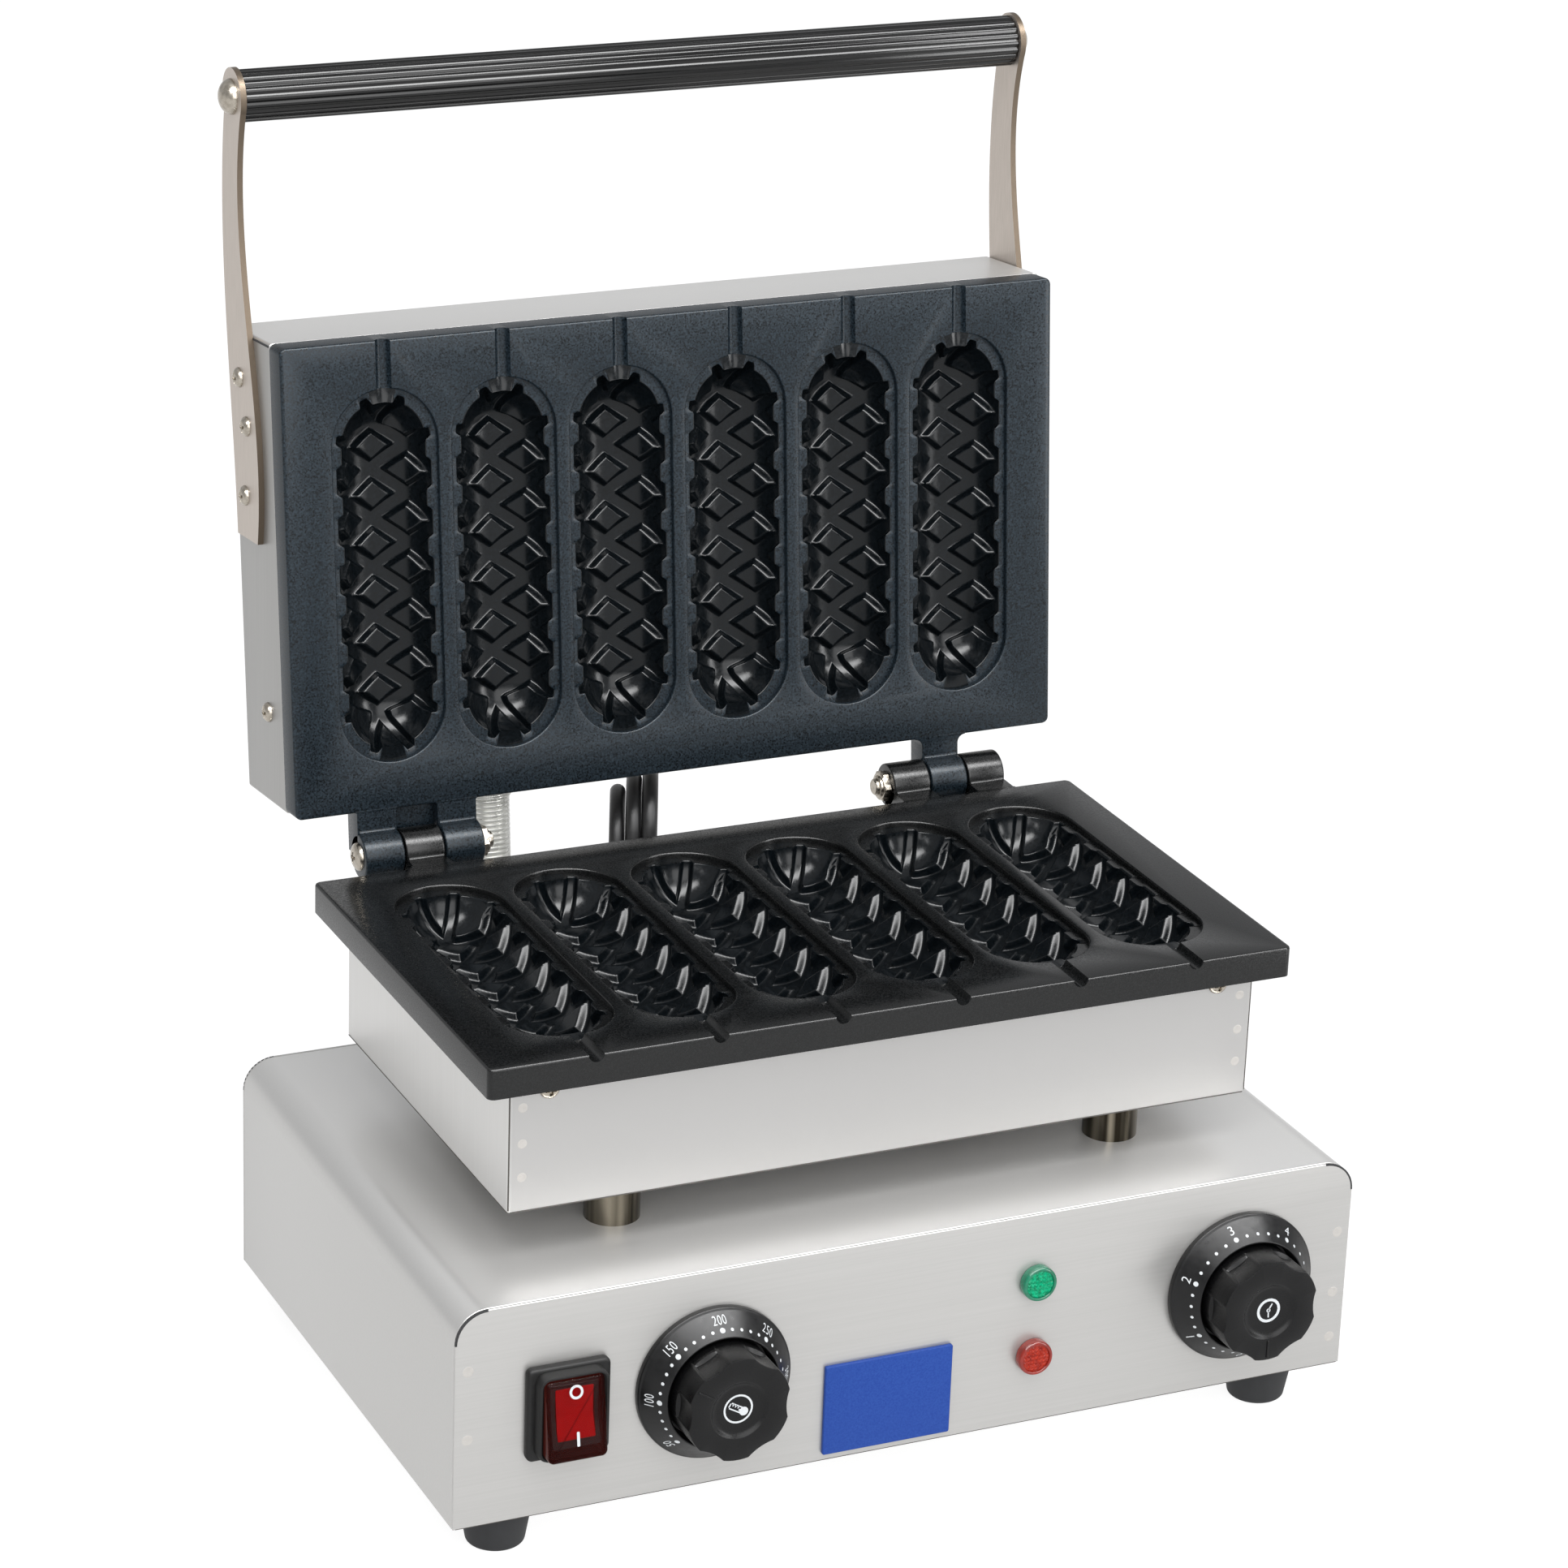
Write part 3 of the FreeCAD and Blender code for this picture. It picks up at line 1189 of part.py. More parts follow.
def make_power_plug(place, direction):
    """Two-pin earthed plug lying on its rim, with its strain relief."""
    grip = PLUG_RELIEF_L + PLUG_GRIP_L
    face = grip + PLUG_FACE_L
    r = PLUG_D / 2
    body = lathe([(0, 0), (CORD_D / 2 + 0.8, 0), (PLUG_RELIEF_D / 2, PLUG_RELIEF_L),
                  (PLUG_NECK_D / 2, PLUG_RELIEF_L + 1), (PLUG_NECK_D / 2 + 1.5, grip - 6), (r - 1, grip),
                  (r, grip + PLUG_RIM), (r, face - 1), (r - 1, face), (0, face)])
    half = PLUG_PIN_SPACING / 2
    pins = [rod(PLUG_PIN_D, V(0, s * half, face - 1), V(0, s * half, face + PLUG_PIN_L)) for s in (-1, 1)]
    return turned_to(body.fuse(pins), place, direction)


def lie_check(path, diameter, solid, name):
    expect = path.Length * pi * diameter ** 2 / 4
    print("%s length %.1f, volume over section times length %.4f" % (name, path.Length, solid.Volume / expect))


def make_cord():
    hank, start, end = hank_path()
    lead = soft_route(lead_points(start), "lead")
    tail = soft_route(tail_points(end), "tail")
    print("hank least gap %.2f" % least_gap(hank, CORD_D))
    made = {}
    for name, path in (("lead", lead), ("hank", hank), ("tail", tail)):
        solid = tube_on(path, CORD_D)
        lie_check(path, CORD_D, solid, name)
        made["power_cord_" + name] = solid
    last = tail_points(end)
    made["hank_tie"] = make_hank_tie()
    made["power_plug"] = make_power_plug(last[-1], plug_direction())
    made["cord_gland"] = make_cord_gland()
    return made


# Assembly

def make_base_pieces():
    bolt, nut = make_hinge_bolts(1)
    return {
        "base_wrap": make_base_wrap(),
        "front_panel": make_front_panel(),
        "rear_panel": make_rear_panel(),
        "bottom_plate": make_bottom_plate(),
        "rubber_feet": make_rubber_feet(),
        "foot_screws": make_foot_screws(),
        "support_posts": make_support_posts(),
        "post_bolts": make_post_bolts(),
        "lower_casing": make_lower_casing(),
        "lower_plate": make_lower_plate(),
        "plate_screws": make_plate_screws(),
        "lower_heating_element": make_heating_element(),
        "thermostat_bulb": make_thermostat_bulb(),
        "thermostat_body": make_control_body(thermostat_at),
        "thermostat_dial": make_dial(thermostat_at),
        "timer_body": make_control_body(timer_at),
        "timer_dial": make_dial(timer_at),
        "switch_housing": make_switch_housing(),
        "switch_boot": make_switch_boot(),
        "green_lamp_lens": make_lamp_lens(green_at),
        "red_lamp_lens": make_lamp_lens(red_at),
        "lamp_barrels": make_lamp_barrels(),
        "badge_plate": make_badge_plate(),
        "terminal_block": make_terminal_block(),
        "conduit": make_conduit(),
        "conduit_base_fitting": make_conduit_base_fitting(),
        "right_hinge_bolt": bolt,
        "right_hinge_nut": nut,
    }


def make_lid_pieces():
    bolt, nut = make_hinge_bolts(-1)
    closed = {
        "upper_plate": lid_flip(make_lower_plate()),
        "upper_casing": make_upper_casing(),
        "upper_heating_element": lid_flip(make_heating_element()),
        "handle_arm_left": make_handle_arm(-1),
        "handle_arm_right": make_handle_arm(1),
        "handle_grip": make_handle_grip(),
        "handle_core": make_handle_core(),
        "handle_bolts": make_handle_bolts(),
        "arm_screws": make_side_screws(True),
        "casing_screws": make_side_screws(False),
        "conduit_lid_fitting": make_conduit_lid_fitting(),
        "left_hinge_bolt": bolt,
        "left_hinge_nut": nut,
    }
    return {name: lid_open(shape) for name, shape in closed.items()}


def make_control_pieces():
    return {
        "thermostat_knob": make_knob(thermostat_at, THERMOSTAT_POINTER),
        "thermostat_shaft": make_shaft(thermostat_at),
        "timer_knob": make_knob(timer_at, TIMER_POINTER),
        "timer_shaft": make_shaft(timer_at),
        "switch_rocker": make_switch_rocker(),
    }


pieces = {}
pieces.update(make_base_pieces())
pieces.update(make_lid_pieces())
pieces.update(make_control_pieces())
pieces.update(make_cord())
os.makedirs("parts", exist_ok=True)
for name, shape in pieces.items():
    shape.exportStep("parts/%s.step" % name)
print("%d pieces" % len(pieces))
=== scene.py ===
"""Six-mould stick waffle maker, lid standing open, on a pale studio floor. Sizes are in millimetres."""

import bmesh
import bpy
import numpy as np
from mathutils import Matrix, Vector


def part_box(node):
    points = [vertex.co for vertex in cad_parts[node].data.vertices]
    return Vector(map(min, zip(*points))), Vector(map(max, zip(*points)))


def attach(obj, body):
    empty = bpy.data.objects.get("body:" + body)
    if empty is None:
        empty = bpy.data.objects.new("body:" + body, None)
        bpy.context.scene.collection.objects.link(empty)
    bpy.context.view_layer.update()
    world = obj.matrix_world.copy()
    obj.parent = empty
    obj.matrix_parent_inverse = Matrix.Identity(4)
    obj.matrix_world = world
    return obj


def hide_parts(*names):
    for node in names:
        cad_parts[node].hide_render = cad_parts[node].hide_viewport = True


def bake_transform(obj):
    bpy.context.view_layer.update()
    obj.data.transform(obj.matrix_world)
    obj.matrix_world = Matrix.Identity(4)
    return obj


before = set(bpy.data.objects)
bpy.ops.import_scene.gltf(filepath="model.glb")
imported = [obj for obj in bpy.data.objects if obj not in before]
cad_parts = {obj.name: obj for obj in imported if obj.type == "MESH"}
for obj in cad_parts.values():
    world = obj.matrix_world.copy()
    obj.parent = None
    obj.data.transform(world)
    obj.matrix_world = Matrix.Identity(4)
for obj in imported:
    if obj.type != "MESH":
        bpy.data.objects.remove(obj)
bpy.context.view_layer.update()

MM = 0.001
FULL_TURN = 2 * np.pi

# Housing
BASE_W = 400.0
BASE_D = 251.6
BASE_Z0 = 20.0
BASE_Z1 = 114.5
BASE_EDGE_R = 13.6
SHEET = 1.2
FRONT_Y = -BASE_D / 2
REAR_Y = BASE_D / 2
FOOT_X = 173.5
FOOT_Y = 104.0

# Plates, casings and hinge
PLATE_W = 355.05
PLATE_D = 201.2
PLATE_T = 12.9
PLATE_Z1 = 203.7
CASING_Z0 = 136.1
CASING_X = 165.325
CASING_Y = 91.3
LID_CASING_H = 48.0
HINGE_Y = 119.4
HINGE_Z = 204.1
HINGE_RISE = 0.4
HINGE_X = 123.525
LID_OPEN = np.radians(96.0)
BARREL_R = 9.75
FILLET_R = 1.2
KNUCKLE_HALF = 8.7
KNUCKLE_GAP = 0.6
OUTER_KNUCKLE = 17.6
NUT_AF = 12.0

# Moulds
MOULD_PITCH = 53.05
MOULD_COUNT = 6
LEDGE_R = 23.5
LEDGE_DEPTH = 2.6
TROUGH_R = 21.0
TROUGH_HALF = 56.5
GROOVE_R = 3.3

# Front controls
SWITCH_AT = (-153.5, 66.6)
THERMOSTAT_AT = (-90.5, 66.0)
TIMER_AT = (148.3, 66.0)
GREEN_AT = (53.0, 84.5)
RED_AT = (53.0, 50.8)
BADGE_AT = (-12.8, 43.2)
BADGE_W = 56.8
BADGE_H = 39.8
BADGE_T = 2.0

# Handle, on the lid: up from the hinge axis, then behind it
GRIP_UP = 318.5
GRIP_BEHIND = 42.0
GRIP_R = 11.0
ARM_T = 2.5
ARM_SCREWS = ((150.5, 43.5), (181.0, 38.5), (200.5, 46.0))
CASING_SCREW = (59.0, 31.0)


# Shapes are (points, quads, caps): a point array, an array of four-sided faces, a list of flat faces

NO_QUADS = np.empty((0, 4), int)


def surface(points, close_rows=False, close_cols=False, caps=()):
    """Shape of a (rows, columns, 3) array; rows or columns may join end to start, caps names rows."""
    rows, cols = points.shape[:2]
    r = np.arange(rows if close_rows else rows - 1)[:, None]
    c = np.arange(cols if close_cols else cols - 1)[None, :]
    r2 = (r + 1) % rows
    c2 = (c + 1) % cols
    corners = (r * cols + c, r * cols + c2, r2 * cols + c2, r2 * cols + c)
    quads = np.stack(corners, -1).reshape(-1, 4)
    ends = [np.arange(cols) + (k % rows) * cols for k in caps]
    return points.reshape(-1, 3), quads, ends


def join(*shapes):
    """Several shapes as one: the points follow each other and the faces' numbers are moved on."""
    starts = np.cumsum([0] + [len(shape[0]) for shape in shapes])
    points = np.concatenate([shape[0] for shape in shapes])
    quads = np.concatenate([shape[1] + start for shape, start in zip(shapes, starts)])
    caps = [cap + start for shape, start in zip(shapes, starts) for cap in shape[2]]
    return points, quads, caps


def seat(origin, right, up, out):
    """Where a shape goes: its own x, y, z run along right, up and out from the origin."""
    return np.array(origin, float), np.array([right, up, out], float)


def put(shape, place):
    """Shape moved to a seat: point = origin + x right + y up + z out."""
    origin, axes = place
    return shape[0] @ axes + origin, shape[1], shape[2]


def shifted(shape, x=0.0, y=0.0, z=0.0):
    """Shape moved along its own axes."""
    return shape[0] + np.array([x, y, z]), shape[1], shape[2]


def spun(shape, degrees):
    """Shape turned about its third axis."""
    c, s = np.cos(np.radians(degrees)), np.sin(np.radians(degrees))
    return shape[0] @ np.array([[c, s, 0], [-s, c, 0], [0, 0, 1]]), shape[1], shape[2]


def laid_along_x(shape):
    """Shape whose height runs along X, its own x and y along Y and Z."""
    return shape[0][:, [2, 0, 1]], shape[1], shape[2]


X_AXIS, Y_AXIS, Z_AXIS = np.eye(3)
LID_UP = np.array([0.0, -np.cos(LID_OPEN), np.sin(LID_OPEN)])
LID_BEHIND = np.array([0.0, np.sin(LID_OPEN), np.cos(LID_OPEN)])
HINGE = np.array([0.0, HINGE_Y, HINGE_Z])
LID_SEAT = seat(HINGE, X_AXIS, LID_UP, -LID_BEHIND)
LOWER_FACE = seat((0, HINGE_Y, PLATE_Z1), X_AXIS, -Y_AXIS, Z_AXIS)
UPPER_FACE = seat(HINGE + HINGE_RISE * LID_BEHIND, X_AXIS, LID_UP, -LID_BEHIND)


def front_seat(at, y=FRONT_Y):
    """Seat at (x, z) on the housing's front, or on another plane square to Y."""
    return seat((at[0], y, at[1]), X_AXIS, Z_AXIS, -Y_AXIS)


def side_seat(side, x, up, behind):
    """Seat on the lid's left (-1) or right (1) side, facing outwards."""
    place = HINGE + side * x * X_AXIS + up * LID_UP + behind * LID_BEHIND
    return seat(place, side * LID_BEHIND, LID_UP, side * X_AXIS)


def eased(path, reach, steps=4, closed=False):
    """Flat path with rounded corners: each corner c between points a and b, reach away on its two
    runs, becomes (1-s)^2 a + 2 s (1-s) c + s^2 b."""
    path = np.asarray(path, float)
    inner = path if closed else path[1:-1]
    back = (np.roll(path, 1, 0) if closed else path[:-2]) - inner
    ahead = (np.roll(path, -1, 0) if closed else path[2:]) - inner
    back_l = np.linalg.norm(back, axis=1, keepdims=True)
    ahead_l = np.linalg.norm(ahead, axis=1, keepdims=True)
    near = np.minimum(reach, 0.45 * np.minimum(back_l, ahead_l))
    a = (inner + back / back_l * near)[:, None]
    b = (inner + ahead / ahead_l * near)[:, None]
    s = np.linspace(0, 1, steps)[None, :, None]
    bends = ((1 - s) ** 2 * a + 2 * s * (1 - s) * inner[:, None] + s ** 2 * b).reshape(-1, 2)
    return bends if closed else np.vstack([path[:1], bends, path[-1:]])


def around(count):
    """Evenly spaced turns of one round."""
    return np.linspace(0, FULL_TURN, count, endpoint=False)


def quarter_turn(count):
    """Evenly spaced turns from 0 to a quarter."""
    return np.linspace(0, np.pi / 2, count)


def turned(profile, count=64, closed=False, caps=()):
    """Profile of (radius, height) turned about the third axis: (r cos t, r sin t, h). Each may vary
    round the turn."""
    t = around(count)
    rings = [np.stack([r * np.cos(t), r * np.sin(t), h + 0 * t], -1) for r, h in profile]
    return surface(np.stack(rings), closed, True, caps)


CORNER_STEPS = 8


def round_rect(width, height, radius, steps=CORNER_STEPS):
    """Outline of a rectangle with circular corners, counter-clockwise."""
    t = quarter_turn(steps)
    arc = radius * np.stack([np.cos(t), np.sin(t)], 1)
    w = width / 2 - radius
    h = height / 2 - radius
    turns = [(1, 1, arc), (-1, 1, arc[::-1]), (-1, -1, arc), (1, -1, arc[::-1])]
    return np.concatenate([(a + [w, h]) * [sx, sy] for sx, sy, a in turns])


def grown(outline, by):
    """Closed counter-clockwise outline moved outwards along its own normals."""
    run = np.roll(outline, -1, 0) - np.roll(outline, 1, 0)
    normal = np.stack([run[:, 1], -run[:, 0]], 1)
    return outline + by * normal / np.linalg.norm(normal, axis=1, keepdims=True)


def stacked(outlines, levels, closed=False):
    """Outlines of equal count joined ring by ring at their levels, with flat ends if not closed."""
    rings = [np.column_stack([flat, np.full(len(flat), h)]) for flat, h in zip(outlines, levels)]
    return surface(np.stack(rings), closed, True, () if closed else (0, -1))


def slab(outline, low, high, ease, steps=4):
    """Outline carried from low to high; at both rims it draws in by ease (1 - sin a) while the
    level moves by ease (1 - cos a)."""
    a = quarter_turn(steps)
    inset = ease * (1 - np.sin(a))
    rise = ease * (1 - np.cos(a))
    levels = np.concatenate([low + rise, (high - rise)[::-1]])
    return stacked([grown(outline, -i) for i in [*inset, *inset[::-1]]], levels)


def tube(path, radii, side, count=28):
    """Round section carried along a path in a plane square to side: centre + r (side cos t + n sin t),
    n being the path's direction turned a quarter in that plane."""
    along = np.gradient(path, axis=0)
    along /= np.linalg.norm(along, axis=1, keepdims=True)
    normal = np.cross(along, side)
    t = around(count)[None, :, None]
    r = np.asarray(radii, float)[:, None, None]
    points = path[:, None] + r * (np.cos(t) * side + np.sin(t) * normal[:, None])
    return surface(points, False, True, (0, -1))


def placed(name, data):
    """New object of the scene with this data."""
    thing = bpy.data.objects.new(name, data)
    bpy.context.scene.collection.objects.link(thing)
    return thing


def meshed(curve):
    """Points and faces of a curve's mesh; the curve itself is used up."""
    carrier = placed("carrier", curve)
    bpy.context.view_layer.update()
    mesh = bpy.data.meshes.new_from_object(carrier.evaluated_get(bpy.context.evaluated_depsgraph_get()))
    points = np.empty(3 * len(mesh.vertices))
    mesh.vertices.foreach_get("co", points)
    faces = [np.array(face.vertices) for face in mesh.polygons]
    bpy.data.objects.remove(carrier)
    bpy.data.curves.remove(curve)
    bpy.data.meshes.remove(mesh)
    return points.reshape(-1, 3), faces


DIGIT_SHARE = 0.7


def lettering(text, height, width):
    """Flat shape of a short mark, centred on its own origin: digits of the given height, set narrower
    or wider by a factor."""
    curve = bpy.data.curves.new("mark", "FONT")
    curve.body = text
    curve.size = height / DIGIT_SHARE
    curve.space_character = 1.1
    curve.align_x = "CENTER"
    curve.align_y = "CENTER"
    curve.resolution_u = 4
    points, caps = meshed(curve)
    return points * [width, 1, 1], NO_QUADS, caps


def piece(name, shape, material, body, replaces=(), sharp=40.0, closed=True):
    """Mesh object of a shape in millimetres: doubles merged, faces outwards, riding on a body."""
    points, quads, caps = shape
    mesh = bpy.data.meshes.new(name)
    mesh.from_pydata((points * MM).tolist(), [], quads.tolist() + [cap.tolist() for cap in caps])
    work = bmesh.new()
    work.from_mesh(mesh)
    bmesh.ops.remove_doubles(work, verts=work.verts, dist=2e-6)
    bmesh.ops.dissolve_degenerate(work, edges=work.edges, dist=1e-6)
    if closed:
        bmesh.ops.recalc_face_normals(work, faces=work.faces)
    work.to_mesh(mesh)
    work.free()
    mesh.shade_smooth()
    mesh.set_sharp_from_angle(angle=np.radians(sharp))
    mesh.materials.append(material)
    thing = placed(name, mesh)
    if body:
        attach(thing, body)
    if replaces:
        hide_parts(*replaces)
    return thing


# Materials

NOISE_LOW = 0.3
NOISE_HIGH = 0.7


def linear(code):
    """sRGB hex to linear RGBA."""
    srgb = np.array([int(code[k:k + 2], 16) for k in (1, 3, 5)]) / 255
    rgb = np.where(srgb <= 0.04045, srgb / 12.92, ((srgb + 0.055) / 1.055) ** 2.4)
    return (*rgb.tolist(), 1.0)


def add(tree, kind, inputs=None, **settings):
    """Node of a kind with its settings; an input is a value, or another node's socket to link."""
    made = tree.nodes.new(kind)
    for key, value in settings.items():
        setattr(made, key, value)
    for key, value in (inputs or {}).items():
        if isinstance(value, bpy.types.NodeSocket):
            tree.links.new(value, made.inputs[key])
        else:
            made.inputs[key].default_value = value
    return made


def finish_of(name, dark, light, rough, grain, spread=0.04, bump=0.0, detail=3.0, edge=None, metal=0.0,
              specular=0.5, **shader):
    """Principled finish: noise of a grain in mm (one size, or one per axis) drifts the colour from dark to
    light and the roughness by spread, and lifts the surface by bump mm. Faces square to X keep that colour,
    the others take the edge colour if there is one: a second tone of painted light and shade for how the
    light falls on those faces."""
    material = bpy.data.materials.new(name)
    material.use_nodes = True
    tree = material.node_tree
    tree.nodes.clear()
    sizes = np.broadcast_to(grain, 3)
    place = add(tree, "ShaderNodeTexCoord")
    scaled = add(tree, "ShaderNodeMapping", {"Vector": place.outputs["Object"],
                                             "Scale": tuple(1 / (sizes * MM))})
    noise = add(tree, "ShaderNodeTexNoise", {"Vector": scaled.outputs[0], "Scale": 1.0, "Detail": detail})
    span = {"Value": noise.outputs["Fac"], "From Min": NOISE_LOW, "From Max": NOISE_HIGH}
    level = add(tree, "ShaderNodeMapRange", span)
    tint = add(tree, "ShaderNodeMix", {0: level.outputs[0], 6: linear(dark), 7: linear(light)},
               data_type="RGBA")
    # Edge colour: painted light and shade, a tone for the faces not square to X
    if edge:
        facing = add(tree, "ShaderNodeSeparateXYZ", {0: place.outputs["Normal"]})
        flat = add(tree, "ShaderNodeMath", {0: facing.outputs[0]}, operation="ABSOLUTE")
        tint = add(tree, "ShaderNodeMix", {0: flat.outputs[0], 6: linear(edge), 7: tint.outputs[2]},
                   data_type="RGBA")
    gloss = add(tree, "ShaderNodeMapRange", {**span, "To Min": rough - spread, "To Max": rough + spread})
    sockets = {"Base Color": tint.outputs[2], "Roughness": gloss.outputs[0], "Metallic": metal,
               "Specular IOR Level": specular}
    if bump:
        lift = add(tree, "ShaderNodeBump", {"Height": noise.outputs["Fac"], "Strength": 1.0,
                                            "Distance": bump * MM})
        sockets["Normal"] = lift.outputs[0]
    sockets.update({key.replace("_", " "): value for key, value in shader.items()})
    done = add(tree, "ShaderNodeBsdfPrincipled", sockets)
    add(tree, "ShaderNodeOutputMaterial", {"Surface": done.outputs[0]})
    return material


# Satin stainless sheet: soft broad reflections with the faintest grinding streaks along X
STAINLESS = finish_of("stainless_satin_sheet", "#b0afad", "#b4b3b1", 0.36, (90.0, 0.9, 0.9), 0.01,
                      0.0002, metal=0.62)
# The same sheet folded over the housing: its top is painted brighter than its sides, a painted light
WRAP_STEEL = finish_of("stainless_wrap_sheet", "#b2b1af", "#b6b5b3", 0.34, (90.0, 0.9, 0.9), 0.01,
                       edge="#d8d7d5", metal=0.62)
# Stainless sheet of the lower casing, finely ground up and down: its sides keep the lighter tone, its front
# and other faces take a darker one, painted light and shade
CASING_STEEL = finish_of("stainless_casing_sheet", "#c8c7c5", "#cccbc9", 0.4, (0.9, 0.9, 60.0), 0.01,
                         edge="#acabaa", metal=0.72)
# Open seam between two folded sheets: a hairline in shadow
SHEET_SEAM = finish_of("shadowed_sheet_seam", "#3a3733", "#4a4742", 0.7, 5.0)
# Stainless sheet of the lid: its ends painted darker and its folded faces painted brighter, painted shade and
# painted light
LID_STEEL = finish_of("stainless_lid_sheet", "#8f8e8c", "#979694", 0.4, (0.9, 0.9, 60.0), 0.015,
                      edge="#cfcecc", metal=0.72)
# Slightly dulled dimple that a spot weld leaves
WELD_STEEL = finish_of("spot_weld_steel", "#b7b4b0", "#bdbab6", 0.44, 1.5, 0.03, 0.004, metal=0.75)
# Flat bar, blasted with beads: warm grey and soft, its edges painted darker brown, a painted shade
ARM_STEEL = finish_of("blasted_flat_bar", "#aba299", "#b9b0a8", 0.42, (0.8, 0.8, 14.0), 0.05, 0.004,
                      edge="#655a4e", metal=0.85)
# Drawn tube: hard light and dark bands painted along its length, painted reflections
POST_STEEL = finish_of("drawn_tube_steel", "#1f1c16", "#8c8577", 0.2, (5.0, 5.0, 300.0), 0.04, detail=1.0,
                       metal=1.0)
# Nickel-plated screws and bolts: bright with small scuffs
NICKEL = finish_of("nickel_plated_steel", "#958e83", "#b0a99e", 0.27, 2.0, 0.06, 0.004, metal=1.0)
# Wound galvanised strip: cold grey, slightly clouded
HOSE_STEEL = finish_of("galvanised_strip", "#d6d6d1", "#e6e6e1", 0.3, 6.0, 0.06, metal=0.5)
# Non-stick coating with mica flakes on cast aluminium, finely pebbled: one coat, painted slate on the upper
# plate and black on the lower, painted light and shade
UPPER_COAT = finish_of("mica_nonstick_upper", "#03070a", "#222e37", 0.34, 0.8, 0.1, 0.03, 2.0,
                       metal=0.2, specular=0.32)
LOWER_COAT = finish_of("mica_nonstick_lower", "#020303", "#090a0b", 0.28, 0.8, 0.08, 0.02, 2.0, specular=0.4)
# The same coating inside the moulds, smooth from use: near black with crisp glints along the pads' edges
MOULD_COAT = finish_of("polished_nonstick", "#05080a", "#0d1216", 0.2, 1.2, 0.05, 0.004, specular=0.26)
# Moulded rubber: dull, slightly dusty; also colours the dark strips of painted shade at the housing's and lid
# casing's corners
RUBBER_AND_PAINTED_SHADE = finish_of("moulded_rubber_and_painted_shade", "#17181a", "#242527", 0.75, 4.0, 0.06, 0.02)
# Phenolic knob plastic, spark-eroded mould texture: even black with a soft sheen
PHENOLIC = finish_of("phenolic_knob", "#050506", "#0a0a0b", 0.34, 0.5, 0.08, 0.012, specular=0.24)
# Ribbed PVC sleeve: glossy black, a light line along each ridge
GRIP_PVC = finish_of("ribbed_pvc_sleeve", "#030303", "#060606", 0.16, (60.0, 6.0, 6.0), 0.02,
                     specular=0.4)
# Stove enamel of the dial discs: satin black
DIAL_ENAMEL = finish_of("black_dial_enamel", "#060607", "#0c0c0d", 0.32, 3.0, 0.05, 0.002, specular=0.3)
# Screen-printed marks: chalk white, slightly uneven ink
WHITE_INK = finish_of("white_screen_ink", "#bfc3c6", "#cdd0d2", 0.5, 0.8, 0.05)
# Nylon switch frame and contact parts: dull black
NYLON = finish_of("black_nylon", "#101011", "#191918", 0.5, 1.2, 0.06, 0.006, specular=0.25)
# Smoky red PVC splash cap, clear enough to show the rocker under it
BOOT_PVC = finish_of("smoky_red_pvc", "#2a0705", "#380c09", 0.12, 20.0, 0.02, Alpha=0.3, specular=0.12)
# The cap's upright walls, seen through their whole height: dull brown red
BOOT_WALL = finish_of("smoky_red_pvc_wall", "#3c1410", "#4c1c16", 0.25, 20.0, 0.02, specular=0.3)
# Red polycarbonate rocker window: bright, even red
ROCKER_RED = finish_of("red_polycarbonate", "#d2030b", "#e2060e", 0.3, 6.0, 0.04, specular=0.04)
# Prismatic acrylic lamp lenses, sparkling from many facets, and their clear darker rims
GREEN_ACRYLIC = finish_of("green_acrylic", "#006c48", "#06aa7a", 0.12, 1.4, 0.04, specular=0.2)
GREEN_RIM = finish_of("green_acrylic_rim", "#0c5a40", "#14785a", 0.1, 4.0, 0.03)
RED_ACRYLIC = finish_of("red_acrylic", "#7a1810", "#ac3422", 0.12, 1.4, 0.04, specular=0.2)
RED_RIM = finish_of("red_acrylic_rim", "#6c160e", "#8c2418", 0.1, 4.0, 0.03)
# Blue anodised aluminium plate: even satin
BLUE_PLATE = finish_of("blue_anodised_plate", "#203d88", "#284891", 0.45, 0.8, 0.04, 0.001, specular=0.1)
# Soft PVC cord sheath: dull black with a faint sheen
CORD_PVC = finish_of("pvc_cord_sheath", "#101011", "#1b1b1c", 0.46, 3.0, 0.06, 0.01)
# Oxidised heater tube, brown grey, and glazed ceramic, creamy white, inside the casings
HEATER_STEEL = finish_of("oxidised_heater_tube", "#4a4642", "#5e5953", 0.5, 5.0, 0.08, 0.01, metal=0.9)
CERAMIC = finish_of("glazed_ceramic", "#d8d2c4", "#e6e1d6", 0.25, 8.0, 0.05)


# Cord and conduit

def route(name, points):
    """Quadratic NURBS curve through the middle of each run of its control points, in millimetres."""
    curve = bpy.data.curves.new(name, "CURVE")
    curve.dimensions = "3D"
    curve.resolution_u = 12
    spline = curve.splines.new("NURBS")
    spline.points.add(len(points) - 1)
    flat = np.concatenate([np.asarray(points, float) * MM, np.ones((len(points), 1))], 1)
    spline.points.foreach_set("co", flat.ravel())
    spline.order_u = 3
    spline.use_endpoint_u = True
    return curve


def followed(points):
    """Points along a route's curve, in millimetres."""
    return meshed(route("route", points))[0] / MM


